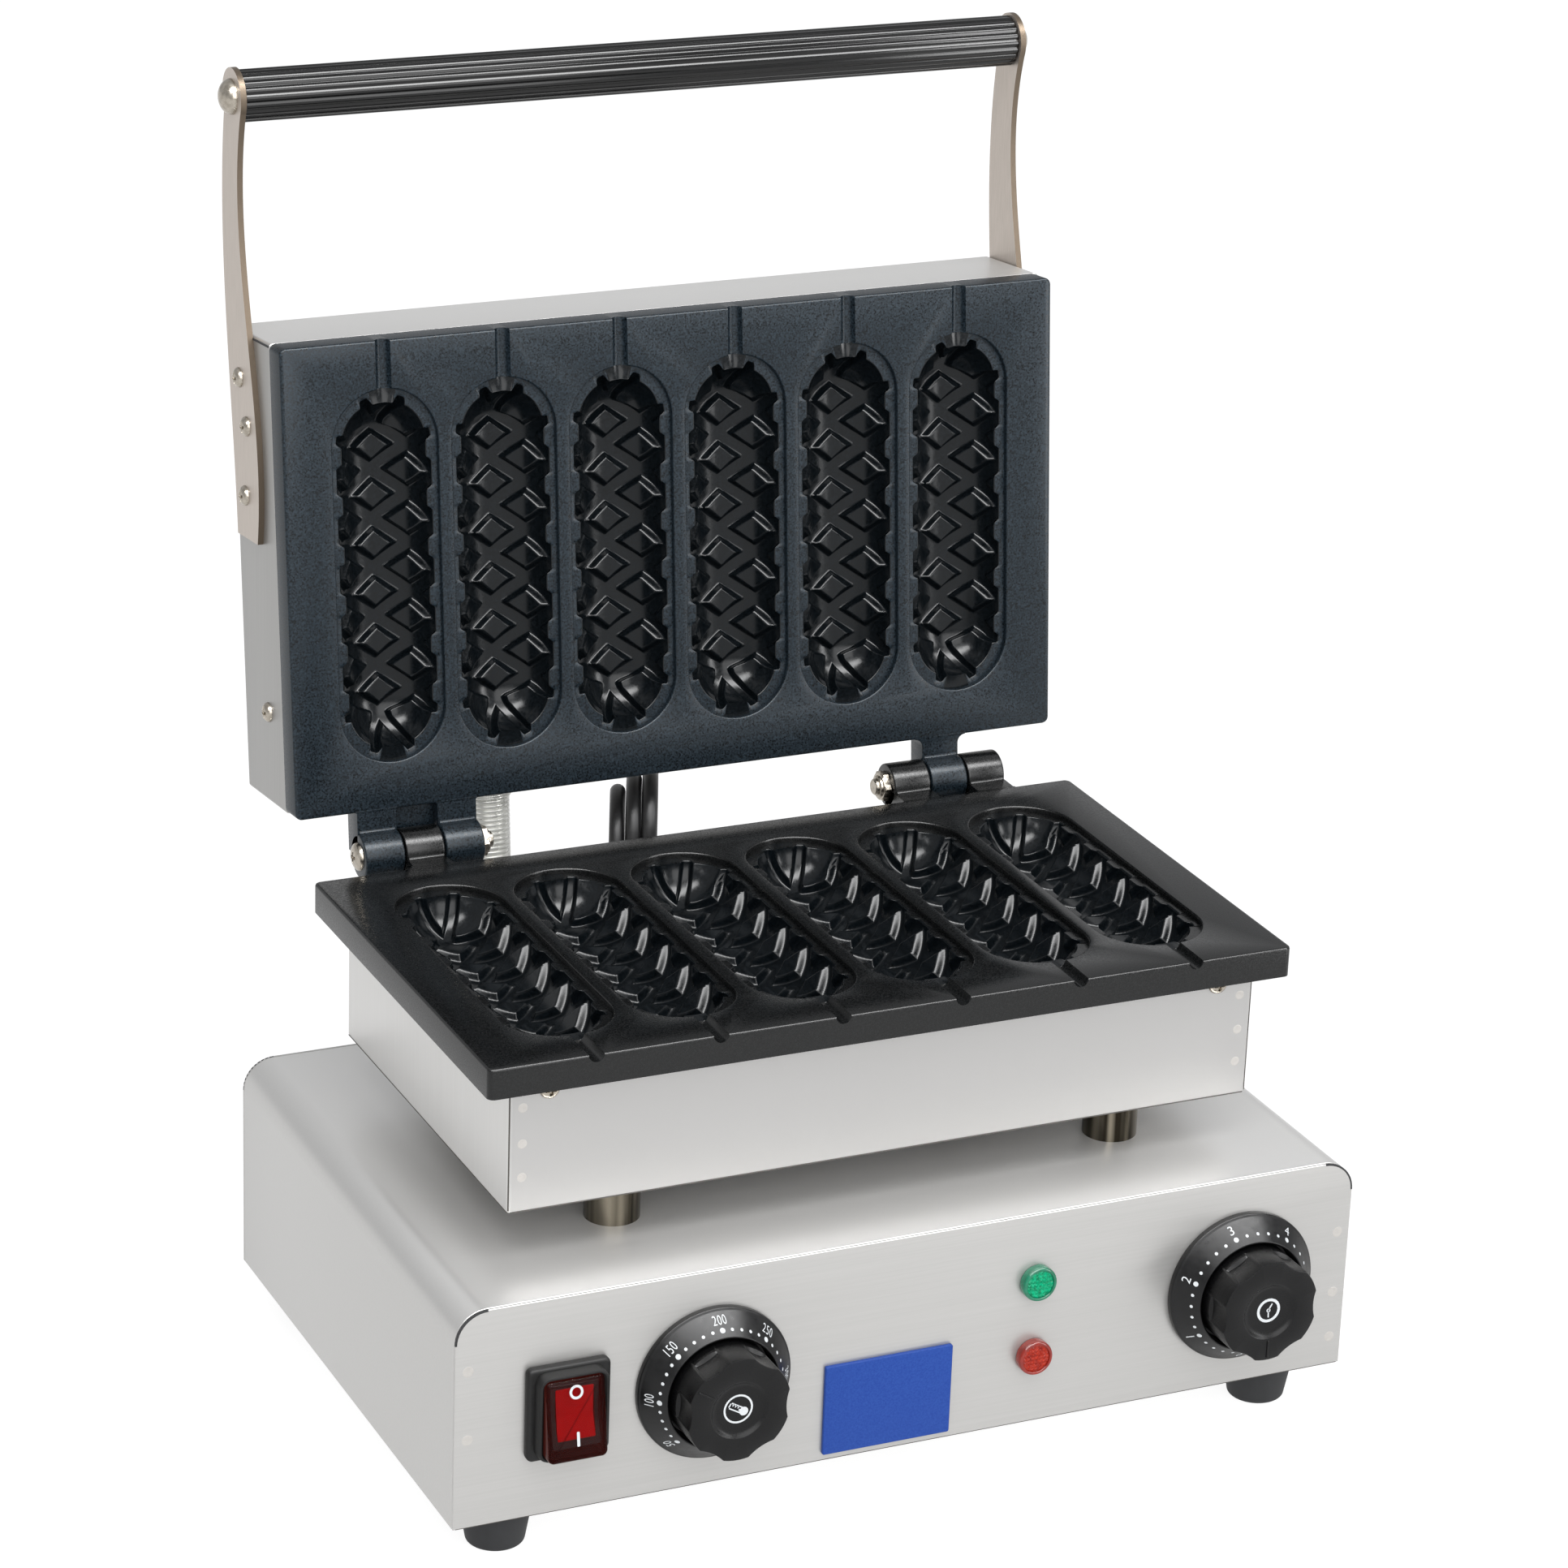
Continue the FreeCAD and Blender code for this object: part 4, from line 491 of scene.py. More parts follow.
CORD_D = 7.0
HANK_AT = np.array([-9.7, 153.5])
HANK_TURN = np.radians(23.2)
HANK_PITCH = 7.1
FOLD_R = 22.2
FOLD_CORNER = FOLD_R * np.tan(np.pi / 8)
CORD_LOW = CORD_D / 2
FOOT = FOLD_R + CORD_LOW
LEG_RUN = 20.0
HANK_TOPS = (213.0, 210.0, 204.0)
WAIST_Z = 106.0
WAIST_HALF = 26.0
WAIST = 8.5
LEAD = ((114.5, 143.0, 33.0), (114.5, 169.0, 33.0), (108.0, 184.5, 30.5), (96.0, 196.5, 25.0),
        (80.0, 203.5, 18.0), (62.5, 205.3, 11.0), (45.5, 202.8, 6.0))
LEAD_HEADING = np.radians(225.0)
TAIL_HEADING = np.radians(164.0)
END_RUN = 14.5
TAIL = ((-80.0, 154.6, 3.5), (-92.0, 157.0, 3.5))
RELIEF = (-4.0, 2.0, 2.5)


def hank_points(across, along, z):
    """Points of the hank: across its loops, along the width of a loop, height."""
    across, along, z = np.broadcast_arrays(across, along, np.asarray(z, float))
    x = HANK_AT[0] + across * np.cos(HANK_TURN) + along * np.sin(HANK_TURN)
    y = HANK_AT[1] - across * np.sin(HANK_TURN) + along * np.cos(HANK_TURN)
    return np.stack([x, y, z], -1)


def loop_points(k):
    """One loop of the hank: up the back leg, over the top, down the front leg, which steps aside to the
    next loop's place, and under."""
    across = (1 - k) * HANK_PITCH
    top = HANK_TOPS[k] - FOOT
    lean = np.repeat([0, 0.4, 0.6, 1], (9, 1, 1, 5)) * HANK_PITCH
    leg = np.array([FOLD_R, WAIST, WAIST, FOLD_R])
    fold = np.array([FOLD_R, FOLD_CORNER, -FOLD_CORNER, -FOLD_R])
    along = np.concatenate([leg, fold, -leg, -fold])
    climb = np.array([FOOT + LEG_RUN, WAIST_Z - WAIST_HALF, WAIST_Z + WAIST_HALF, top - LEG_RUN])
    rise = np.array([FOLD_CORNER, FOLD_R, FOLD_R, FOLD_CORNER])
    z = np.concatenate([climb, top + rise, climb[::-1], FOOT - rise])
    return hank_points(across - lean, along, z)


def level_heading(turn):
    """Level direction at a turn from X."""
    return np.array([np.cos(turn), np.sin(turn), 0])


def cord_points():
    """Gland, lead on the floor, three loops of the hank, tail to the plug."""
    first = hank_points(HANK_PITCH, FOLD_R, CORD_LOW)
    heading = level_heading(LEAD_HEADING)
    rising = [first - heading * (FOLD_R + END_RUN), first - heading * (FOLD_R - FOLD_CORNER),
              hank_points(HANK_PITCH, FOLD_R, FOOT - FOLD_CORNER)]
    loops = np.concatenate([loop_points(k) for k in range(len(HANK_TOPS))])[:-3]
    away = level_heading(TAIL_HEADING)
    last = np.array([*loops[-1][:2], CORD_LOW])
    leaving = [last + away * (FOLD_R - FOLD_CORNER), last + away * (FOLD_R + END_RUN)]
    plug_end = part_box("power_plug")[1][0] / MM
    relief = np.array([plug_end, *TAIL[-1][1:]]) + RELIEF
    return np.concatenate([LEAD, rising, loops, leaving, TAIL, [relief]])


def make_cord():
    """Power cord, put away as a tied hank behind the housing."""
    curve = route("power_cord", cord_points())
    curve.bevel_depth = CORD_LOW * MM
    curve.bevel_resolution = 6
    curve.use_fill_caps = True
    curve.materials.append(CORD_PVC)
    cord = placed("power_cord", curve)
    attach(cord, "base")
    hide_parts("power_cord_lead", "power_cord_hank", "power_cord_tail")


CONDUIT_X = -78.0
CONDUIT_ROUTE = ((158.9, 216.8), (156.75, 196.0), (153.5, 164.8), (192.2, 132.4), (194.4, 94.1),
                 (168.1, 66.2), (127.8, 66.0))
CONDUIT_R = 10.5
RIB_COUNT = 100
RIB_STEPS = 8
RIB_DEPTH = 0.55
COLLAR_L = 10.0
COLLAR_WALL = 0.4
COLLAR_RIB = 0.5
COLLAR_RIB_PITCH = 2.1


def make_conduit():
    """Ribbed hose: along each rib's pitch the radius rises from the valley to a rounded crest. The hose stays
    where it is drawn; its collar rides on the lid."""
    line = followed([(CONDUIT_X, y, z) for y, z in CONDUIT_ROUTE])
    steps = np.linalg.norm(np.diff(line, axis=0), axis=1)
    done = np.concatenate([[0], np.cumsum(steps)])
    at = np.linspace(0, done[-1], RIB_COUNT * RIB_STEPS + 1)
    path = np.stack([np.interp(at, done, line[:, k]) for k in range(3)], 1)
    phase = np.linspace(0, RIB_COUNT, len(at))
    crest = np.clip(1.6 * np.sin(np.pi * (phase % 1)), 0, 1)
    radii = CONDUIT_R - RIB_DEPTH + RIB_DEPTH * crest
    hose = piece("lid_conduit", tube(path, radii, X_AXIS), HOSE_STEEL, None, ("conduit",), 60)
    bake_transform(hose)
    rise = np.linspace(0, COLLAR_L, 41)
    ribs = CONDUIT_R + COLLAR_WALL + COLLAR_RIB * np.sin(np.pi * rise / COLLAR_RIB_PITCH) ** 2
    rings = [*zip(ribs, rise), (CONDUIT_R + 0.1, COLLAR_L), (CONDUIT_R + 0.1, 0.0)]
    wall = (CONDUIT_X, CONDUIT_ROUTE[0][0] + 0.2, CONDUIT_ROUTE[0][1] + 2.0)
    place = seat(wall, X_AXIS, LID_BEHIND, -LID_UP)
    piece("conduit_collar", put(turned(rings, 56, True), place), HOSE_STEEL, "lid", ("conduit_lid_fitting",),
          60)


# Plates

PAD_HALF_PITCH = 10.55
PAD_HEIGHT = 3.4
PAD_ROUND = np.pi / 4
PAD_SPREAD = 0.04
CHANNEL_SPACING = 8.89
CHANNEL_FLOOR = 2.4
CHANNEL_SLOPE = 2.1
LAST_CROSSING = 6
END_RAY = np.radians(34.0)
RAY_NARROWING = 1.05
RAY_BLEND = 0.6
SIDE_LOSS = 0.35
SIDE_FROM = 1.0
SIDE_SPAN = 0.5
TROUGH_RIM = 82.0
TROUGH_LIP = 0.35
SHELL_R = 23.6
SHELL_RIM = 83.5
MOUTH_STEPS = 9
BOSS_X = 158.0
BOSS_Y = 84.0
BOSS_DEPTH = 24.9
ARM_LOW = 1.0 - PLATE_T
WEB_LOW = 7.6
WEB_TOP = -6.4
MIDDLE_FLARE = 3.6
OUTER_FLARE = 0.6
LAP = 1.5
MOULD_XS = (np.arange(MOULD_COUNT) - (MOULD_COUNT - 1) / 2) * MOULD_PITCH


def smooth(x):
    """0 below 0, 1 above 1, 3x^2 - 2x^3 between."""
    x = np.clip(x, 0, 1)
    return x * x * (3 - 2 * x)


def mould_walk(bend, run, rear):
    """Walk round a mould in given counts of steps: turn of the outward direction from the stick side,
    centre-line place, and the steps in the stick groove's mouth."""
    mouth = np.arcsin(GROOVE_R / LEDGE_R)
    quarter = np.linspace(mouth, np.pi / 2, bend + 1)[1:]
    front = np.concatenate([-quarter[::-1], np.linspace(-mouth, mouth, MOUTH_STEPS), quarter])
    side = np.linspace(TROUGH_HALF, -TROUGH_HALF, run + 1)[1:-1]
    back = np.linspace(np.pi / 2, 1.5 * np.pi, rear + 1)
    turn = np.concatenate([front, np.full(len(side), np.pi / 2), back, np.full(len(side), 1.5 * np.pi)])
    centre = np.concatenate([np.full(len(front), TROUGH_HALF), side, np.full(len(back), -TROUGH_HALF), -side])
    return turn, centre, slice(bend, bend + MOUTH_STEPS)


def groove_depths(turn, mouth):
    """Depth of the round stick groove under each step of a walk."""
    depth = np.zeros_like(turn)
    depth[mouth] = np.sqrt(np.maximum(GROOVE_R ** 2 - (LEDGE_R * np.sin(turn[mouth])) ** 2, 0))
    return depth


def walked(turn, centre, reach, depth):
    """Rings at a reach from the centre line and a depth under the face."""
    reach, depth = np.broadcast_arrays(reach, depth)
    return np.stack([np.sin(turn) * reach, centre + np.cos(turn) * reach, -depth], -1)


def pad_heights(x, t, down, centre):
    """Pads on the trough, from unit directions (x, t, down) at centre-line places.
    u counts half pitches of length, v eighth turns round; channels follow u + v and u - v = -6 ... 6 in
    twos. Past the last crossing two narrower channels run straight outwards. A pad rises over the slope
    beside a channel's floor, and a little less high up the trough's sides."""
    lift = np.arcsin(np.clip(t, -1, 1))
    u = (centre + TROUGH_R * lift) / PAD_HALF_PITCH
    round_by = np.arctan2(x, down)
    v = round_by / PAD_ROUND + PAD_SPREAD * np.sin(4 * round_by)
    half = LAST_CROSSING // 2
    a = np.abs(u + v - 2 * np.clip(np.round((u + v) / 2), -half, half))
    b = np.abs(u - v - 2 * np.clip(np.round((u - v) / 2), -half, half))
    lattice = CHANNEL_SPACING * np.minimum(a, b)
    start = TROUGH_HALF + TROUGH_R * np.sin((LAST_CROSSING * PAD_HALF_PITCH - TROUGH_HALF) / TROUGH_R)
    beyond = np.abs(centre + TROUGH_R * t) - start
    rays = np.abs(TROUGH_R * np.abs(x) * np.cos(END_RAY) - beyond * np.sin(END_RAY))
    share = smooth((np.abs(u) - LAST_CROSSING + RAY_BLEND / 2) / RAY_BLEND)
    gap = (1 - share) * lattice + share * (rays + RAY_NARROWING)
    rise = smooth((gap - CHANNEL_FLOOR) / CHANNEL_SLOPE)
    return PAD_HEIGHT * rise * (1 - SIDE_LOSS * smooth((np.abs(round_by) - SIDE_FROM) / SIDE_SPAN))


def mould_shape():
    """One mould in plate coordinates: ledge, waffle trough, and a plain shell behind them."""
    turn, centre, mouth = mould_walk(58, 244, 120)
    tilt = np.radians(np.linspace(TROUGH_RIM, 0, 66))[:, None]
    out = np.sin(tilt)
    flat = 0 * turn
    heights = pad_heights(np.sin(turn) * out, np.cos(turn) * out, np.cos(tilt) + flat, centre)
    reach = (TROUGH_R - heights) * out
    depth = (TROUGH_R - heights) * np.cos(tilt)
    back = np.radians(np.linspace(0, SHELL_RIM, 8))[:, None]
    ledge = np.maximum(LEDGE_DEPTH, groove_depths(turn, mouth))
    rim = reach[:1] + TROUGH_LIP
    reach = np.concatenate([SHELL_R * np.sin(back) + flat, LEDGE_R + 0.1 + flat[None], rim, reach])
    depth = np.concatenate([SHELL_R * np.cos(back) + flat, ledge[None], LEDGE_DEPTH + flat[None], depth])
    return surface(walked(turn, centre, reach, depth), False, True)


def knuckle(x0, x1, flare):
    """Hinge barrel along X, the arm that runs flush into the plate's back edge, the fillet between them."""
    edge = HINGE_Y - PLATE_D / 2
    barrel = turned(eased([(0, x0), (BARREL_R, x0), (BARREL_R, x1), (0, x1)], 1.0), 56)
    barrel = shifted(laid_along_x(barrel), z=HINGE_RISE)
    s = quarter_turn(7)
    bend = np.stack([1 - np.sin(s), 1 - np.cos(s)], 1)
    right = ((x1, edge) + flare * bend * [1, -1])[::-1]
    left = (x0, edge) - flare * bend
    outline = np.concatenate([[(x0, 0), (x1, 0)], right,
                              [(x1 + flare, edge + LAP), (x0 - flare, edge + LAP)], left])
    arm = slab(outline, ARM_LOW, -0.02, 0.3)
    corner = (BARREL_R, 0) + FILLET_R * bend
    section = np.concatenate([[(BARREL_R - 1, -0.5), (BARREL_R + FILLET_R, -0.5)], corner,
                              [(BARREL_R - 1, FILLET_R)]])
    fillet = slab(section, x0 + 0.9, x1 - 0.9, 0.02)
    return join(barrel, arm, laid_along_x(fillet))


def knuckles(middle_side):
    """One middle barrel on one side, two outer barrels joined by a set-back web on the other."""
    near = KNUCKLE_HALF + KNUCKLE_GAP
    far = near + OUTER_KNUCKLE
    middle = middle_side * HINGE_X
    high = HINGE_Y - PLATE_D / 2 + LAP
    web = slab(round_rect(2 * near + 2, high - WEB_LOW, 0.4) + [-middle, (high + WEB_LOW) / 2],
               ARM_LOW, WEB_TOP, 0.3)
    return join(knuckle(middle - KNUCKLE_HALF, middle + KNUCKLE_HALF, MIDDLE_FLARE), web,
                knuckle(-middle - far, -middle - near, OUTER_FLARE),
                knuckle(-middle + near, -middle + far, OUTER_FLARE))


def plate_shape(middle_side):
    """Cast plate: comb-shaped top face round six moulds and their stick grooves, rounded edge, back
    boss round the moulds, hinge barrels. Coordinates are x, distance from the hinge axis, height."""
    turn, centre, mouth = mould_walk(16, 6, 32)
    groove = groove_depths(turn, mouth)
    rim = np.array([(LEDGE_R + 0.7, 0), (LEDGE_R + 0.2, 0.2), (LEDGE_R, 0.7), (LEDGE_R, LEDGE_DEPTH + 0.4)])
    cavity = np.radians(np.linspace(TROUGH_RIM, 0, 9))
    reach = np.concatenate([rim[:, 0], (SHELL_R + 0.2) * np.sin(cavity)])[:, None]
    depth = np.concatenate([rim[:, 1], (SHELL_R + 0.2) * np.cos(cavity)])[:, None]
    rings = walked(turn, centre, reach, np.maximum(depth, groove))
    front_x = (MOULD_XS[::-1, None] + LEDGE_R * np.sin(turn[mouth])[::-1]).ravel()
    front = np.stack([front_x, np.full(len(front_x), PLATE_D / 2)], 1)
    corners = round_rect(PLATE_W, PLATE_D, 3.0)
    before = CORNER_STEPS
    outline = np.concatenate([corners[:before], front, corners[before:]])
    drop = np.concatenate([np.zeros(before), np.tile(groove[mouth][::-1], MOULD_COUNT), np.zeros(3 * before)])
    edge = [(1.0, 0.0), (0.3, 0.3), (0.0, 1.0), (0.0, PLATE_T)]
    flats = [grown(outline, -inset) for inset, level in edge]
    boss = np.clip(outline, (-BOSS_X, -BOSS_Y), (BOSS_X, BOSS_Y))
    flats += [boss, boss]
    levels = [level for inset, level in edge] + [PLATE_T, BOSS_DEPTH]
    wall = np.stack([np.column_stack([flat, -np.maximum(level, drop)]) for flat, level in zip(flats, levels)])
    shapes = [surface(wall, False, True, (-1,))]
    face = [wall[0, :before]]
    for x in MOULD_XS[::-1]:
        mould = rings + np.array([x, 0, 0])
        shapes.append(surface(mould, False, True))
        stick = wall[0, before:before + MOUTH_STEPS]
        shapes.append(surface(np.stack([mould[0, mouth], stick[::-1]])))
        lip = np.roll(mould[0], -(mouth.stop - 1), axis=0)[:len(mould[0]) - MOUTH_STEPS + 2]
        face += [stick[:1], lip, stick[-1:]]
        before += MOUTH_STEPS
    face.append(wall[0, before:])
    top = np.concatenate(face)
    shapes.append((top, NO_QUADS, [np.arange(len(top))]))
    plate = shifted(join(*shapes), y=HINGE_Y)
    return join(plate, knuckles(middle_side))


def make_plates():
    """Both plates with their moulds: the troughs are polished, the ledges have the plate's own coat."""
    mould = shifted(mould_shape(), y=HINGE_Y)
    sets = (("lower", -1, LOWER_FACE, LOWER_COAT, "base"), ("upper", 1, UPPER_FACE, UPPER_COAT, "lid"))
    for name, middle_side, place, coat, body in sets:
        piece(name + "_waffle_plate", put(plate_shape(middle_side), place), coat, body, (name + "_plate",),
              50)
        for k, x in enumerate(MOULD_XS):
            made = piece("%s_mould_%d" % (name, k + 1), put(shifted(mould, x), place), MOULD_COAT, body, (),
                         80)
            faces = made.data.polygons
            middles = np.empty(3 * len(faces))
            faces.foreach_get("center", middles)
            local = (middles.reshape(-1, 3) / MM - place[0]) @ place[1].T - [x, HINGE_Y, 0]
            reach = np.hypot(local[:, 0], np.maximum(np.abs(local[:, 1]) - TROUGH_HALF, 0))
            made.data.materials.append(coat)
            faces.foreach_set("material_index", (reach > TROUGH_R).astype(np.int32))


# Housing

HOUSE_SEAT = seat((0, 0, 0), X_AXIS, Z_AXIS, -Y_AXIS)
HEM_GAP = 0.25
JOINT_W = 0.8
JOINT_L = 0.95
SEAM_W = 0.7
SEAM_END = 1.2
BASE_SEAM_SINK = 0.28
CASING_SEAM_SINK = 0.24
CORNER_SINK = 0.5
FRONT_WELDS = ((-194.5, 89), (-194.5, 59), (194.5, 82), (194.5, 54), (194.5, 33))
CASING_WELD_X = 159.5
CASING_WELD_ZS = (181.0, 165.5, 151.0)
FOOT_PROFILE = ((0, 9), (6.5, 9), (6.5, 0), (11, 0), (12, 1), (14.75, 17), (14.75, 20), (0, 20))


def house_line(inset):
    """Front outline of the housing from the lower right, over the rounded top, to the lower left."""
    x = BASE_W / 2 - inset
    z = BASE_Z1 - inset
    r = BASE_EDGE_R - inset
    s = quarter_turn(13)
    right = np.stack([x - r + r * np.cos(s), z - r + r * np.sin(s)], 1)
    left = (right * [-1, 1])[::-1]
    return np.concatenate([[(x, BASE_Z0)], right, left, [(-x, BASE_Z0)]])


def spot_weld(radius=2.2):
    """Shallow dimple with a raised ring: a turned profile."""
    profile = [(0, 0.01), (0.5 * radius, 0.015), (0.75 * radius, 0.05), (radius, 0.04), (1.2 * radius, -0.1),
               (0, -0.1)]
    return turned(eased(profile, 0.3), 24)


def make_panels():
    """Wrapped sheet and front panel of the housing."""
    wrap = np.concatenate([house_line(0), house_line(SHEET)[::-1]])
    hood = slab(wrap, -REAR_Y + SHEET, -FRONT_Y - SHEET - HEM_GAP, HEM_GAP)
    piece("housing_wrap", put(hood, HOUSE_SEAT), WRAP_STEEL, "base", ("base_wrap",), 30)
    panel = slab(house_line(0), -FRONT_Y - SHEET, -FRONT_Y, 0.45)
    piece("housing_front", put(panel, HOUSE_SEAT), STAINLESS, "base", ("front_panel",), 30)


def seam(start, right, up, out, length):
    """Hairline strip that runs outwards from its start."""
    strip = slab(round_rect(SEAM_W, SEAM_W, 0.3, 2), 0, length, 0.1)
    return put(strip, seat(start, right, up, out))


def make_joints():
    """Shadowed joints at the housing's rounded corners, and the seams of housing and lower casing."""
    s = quarter_turn(13)
    round_edge = np.stack([np.cos(s), np.sin(s)], 1)
    band = np.concatenate([BASE_EDGE_R * round_edge, (BASE_EDGE_R - JOINT_W) * round_edge[::-1]])
    right = band + [BASE_W / 2 - BASE_EDGE_R, BASE_Z1 - BASE_EDGE_R]
    joints = [slab(outline, low, low + JOINT_L, 0.05) for outline in (right, (right * [-1, 1])[::-1])
              for low in (-FRONT_Y - 0.9, -REAR_Y - 0.05)]
    # Dark strips in the rubber finish at the rounded corners: painted shade of the gap between panel and wrap
    piece("panel_corner_joint_shade", put(join(*joints), HOUSE_SEAT), RUBBER_AND_PAINTED_SHADE, "base", ())
    wall_h = PLATE_Z1 - PLATE_T - CASING_Z0
    low = CASING_Z0 + CASING_SEAM_SINK
    foot = (1 - BASE_W / 2, FRONT_Y + BASE_SEAM_SINK, BASE_Z0 + BASE_SEAM_SINK)
    seams = [seam(foot, Y_AXIS, Z_AXIS, X_AXIS, BASE_W - 2)]
    for side in (-1, 1):
        corner = (side * (CASING_X - CORNER_SINK), CORNER_SINK - CASING_Y, CASING_Z0 + 1)
        seams.append(seam(corner, X_AXIS, Y_AXIS, Z_AXIS, wall_h - 1))
        front = (side * (CASING_X - CASING_SEAM_SINK), SEAM_END - CASING_Y, low)
        seams.append(seam(front, Z_AXIS, X_AXIS, Y_AXIS, 2 * (CASING_Y - SEAM_END)))
    left = (SEAM_END - CASING_X, CASING_SEAM_SINK - CASING_Y, low)
    seams.append(seam(left, Y_AXIS, Z_AXIS, X_AXIS, 2 * (CASING_X - SEAM_END)))
    piece("sheet_seams", join(*seams), SHEET_SEAM, "base", ())


def make_welds():
    """Spot welds on the housing's front and the lower casing's front."""
    welds = [put(spot_weld(), front_seat(at)) for at in FRONT_WELDS]
    welds += [put(spot_weld(1.9), front_seat((side * CASING_WELD_X, z), -CASING_Y))
              for side in (-1, 1) for z in CASING_WELD_ZS]
    piece("spot_welds", join(*welds), WELD_STEEL, "base", (), 60)


def make_feet():
    foot = turned(eased(FOOT_PROFILE, 0.9))
    feet = [shifted(foot, sx * FOOT_X, sy * FOOT_Y) for sx in (-1, 1) for sy in (-1, 1)]
    piece("feet", join(*feet), RUBBER_AND_PAINTED_SHADE, "base", ("rubber_feet",))


CASING_SHEET = 1.0
CASING_EASE = 0.8
CASING_CORNER = 1.6
RIM_EASE = 0.3


def tray(outline, floor, rim, sheet, ease):
    """Open sheet box: rounded floor edge, outer wall up to the rim, and the inner wall back down."""
    a = quarter_turn(4)
    insets = [*ease * (1 - np.sin(a)), 0, RIM_EASE, sheet - RIM_EASE, sheet, sheet]
    shoulder = rim - RIM_EASE
    levels = [*floor + ease * (1 - np.cos(a)), shoulder, rim, rim, shoulder, floor + sheet]
    return stacked([grown(outline, -i) for i in insets], levels)


def make_casings():
    """Sheet boxes round both plates, and dark strips at the upper one's corners: painted shade of the corner
    gaps.
    """
    outline = round_rect(2 * CASING_X, 2 * CASING_Y, CASING_CORNER)
    lower = tray(outline, CASING_Z0, PLATE_Z1 - PLATE_T, CASING_SHEET, CASING_EASE)
    piece("lower_casing_box", lower, CASING_STEEL, "base", ("lower_casing",), 30)
    front = -(HINGE_RISE + PLATE_T)
    outline = round_rect(PLATE_W, PLATE_D, CASING_CORNER) + [0, HINGE_Y]
    upper = tray(outline, front - LID_CASING_H, front, CASING_SHEET, CASING_EASE)
    upper = put(upper, LID_SEAT)
    piece("upper_casing_box", upper, LID_STEEL, "lid", ("upper_casing",), 30)
    # Dark strip in the rubber finish on each side of the lid casing: painted shade of the corner gap
    corner_shade_strip = slab(round_rect(LID_CASING_H - 1.0, 0.9, 0.4), -0.3, 0.25, 0.2)
    corner_shades = [put(corner_shade_strip, side_seat(s, PLATE_W / 2, HINGE_Y + PLATE_D / 2 - 1.3, -front + LID_CASING_H / 2))
             for s in (-1, 1)]
    piece("casing_corner_shade_strips", join(*corner_shades), RUBBER_AND_PAINTED_SHADE, "lid", ())


# Fasteners

BOLT_HEAD_D = 15.0
BOLT_HEAD_H = 5.5
SHANK_L = 2.0
SLOT_HALF = 0.45
SLOT_REACH = 2.1
SLOT_DEPTH = 1.3
RIM_SCREW_X = 148.525
RIM_SCREW_Z = 187.8


def round_head(diameter, height):
    """Smooth domed head: (r cos a, h sin a), on a short shank."""
    a = np.linspace(np.pi / 2, 0, 10)
    dome = np.stack([diameter / 2 * np.cos(a), height * np.sin(a)], 1)
    shank = diameter / 4
    return turned([*dome, (diameter / 2, -0.4), (shank, -0.4), (shank, -SHANK_L), (0, -SHANK_L)], 40)


def cross_head(diameter=8.6, height=2.6):
    """Pan head with a cross recess: the dome drops where |x| or |y| is under the slot's half width."""
    rows = np.concatenate([np.linspace(0, 0.55, 16), np.linspace(0.6, 1, 7)])[:, None]
    t = around(64)
    r = rows * diameter / 2
    dome = height * np.maximum(1 - rows ** 2.6, 0) ** 0.5
    off_slot = np.minimum(np.abs(r * np.cos(t)), np.abs(r * np.sin(t))) - SLOT_HALF
    slot = (1 - smooth(off_slot / 0.3)) * (1 - smooth((r - SLOT_REACH) / 0.5))
    return turned([*zip(r, dome - SLOT_DEPTH * slot), (diameter / 2, -0.5)], 64, caps=(-1,))


def lock_nut():
    """Hexagon, r = half width / cos(turn from the flat's middle), a rounded collar and the bolt's end."""
    six = NUT_AF / 2 / np.cos(around(72) % (np.pi / 3) - np.pi / 6)
    rings = [(0, 0), (5.9, 0), (six, 0.5), (six, 3.0), (np.minimum(six, 6.0), 3.5), (5.0, 3.6), (4.8, 4.4),
             (4.2, 4.8), (3.7, 4.7), (3.6, 5.8), (3.1, 6.3), (0, 6.3)]
    return turned(rings, 72)


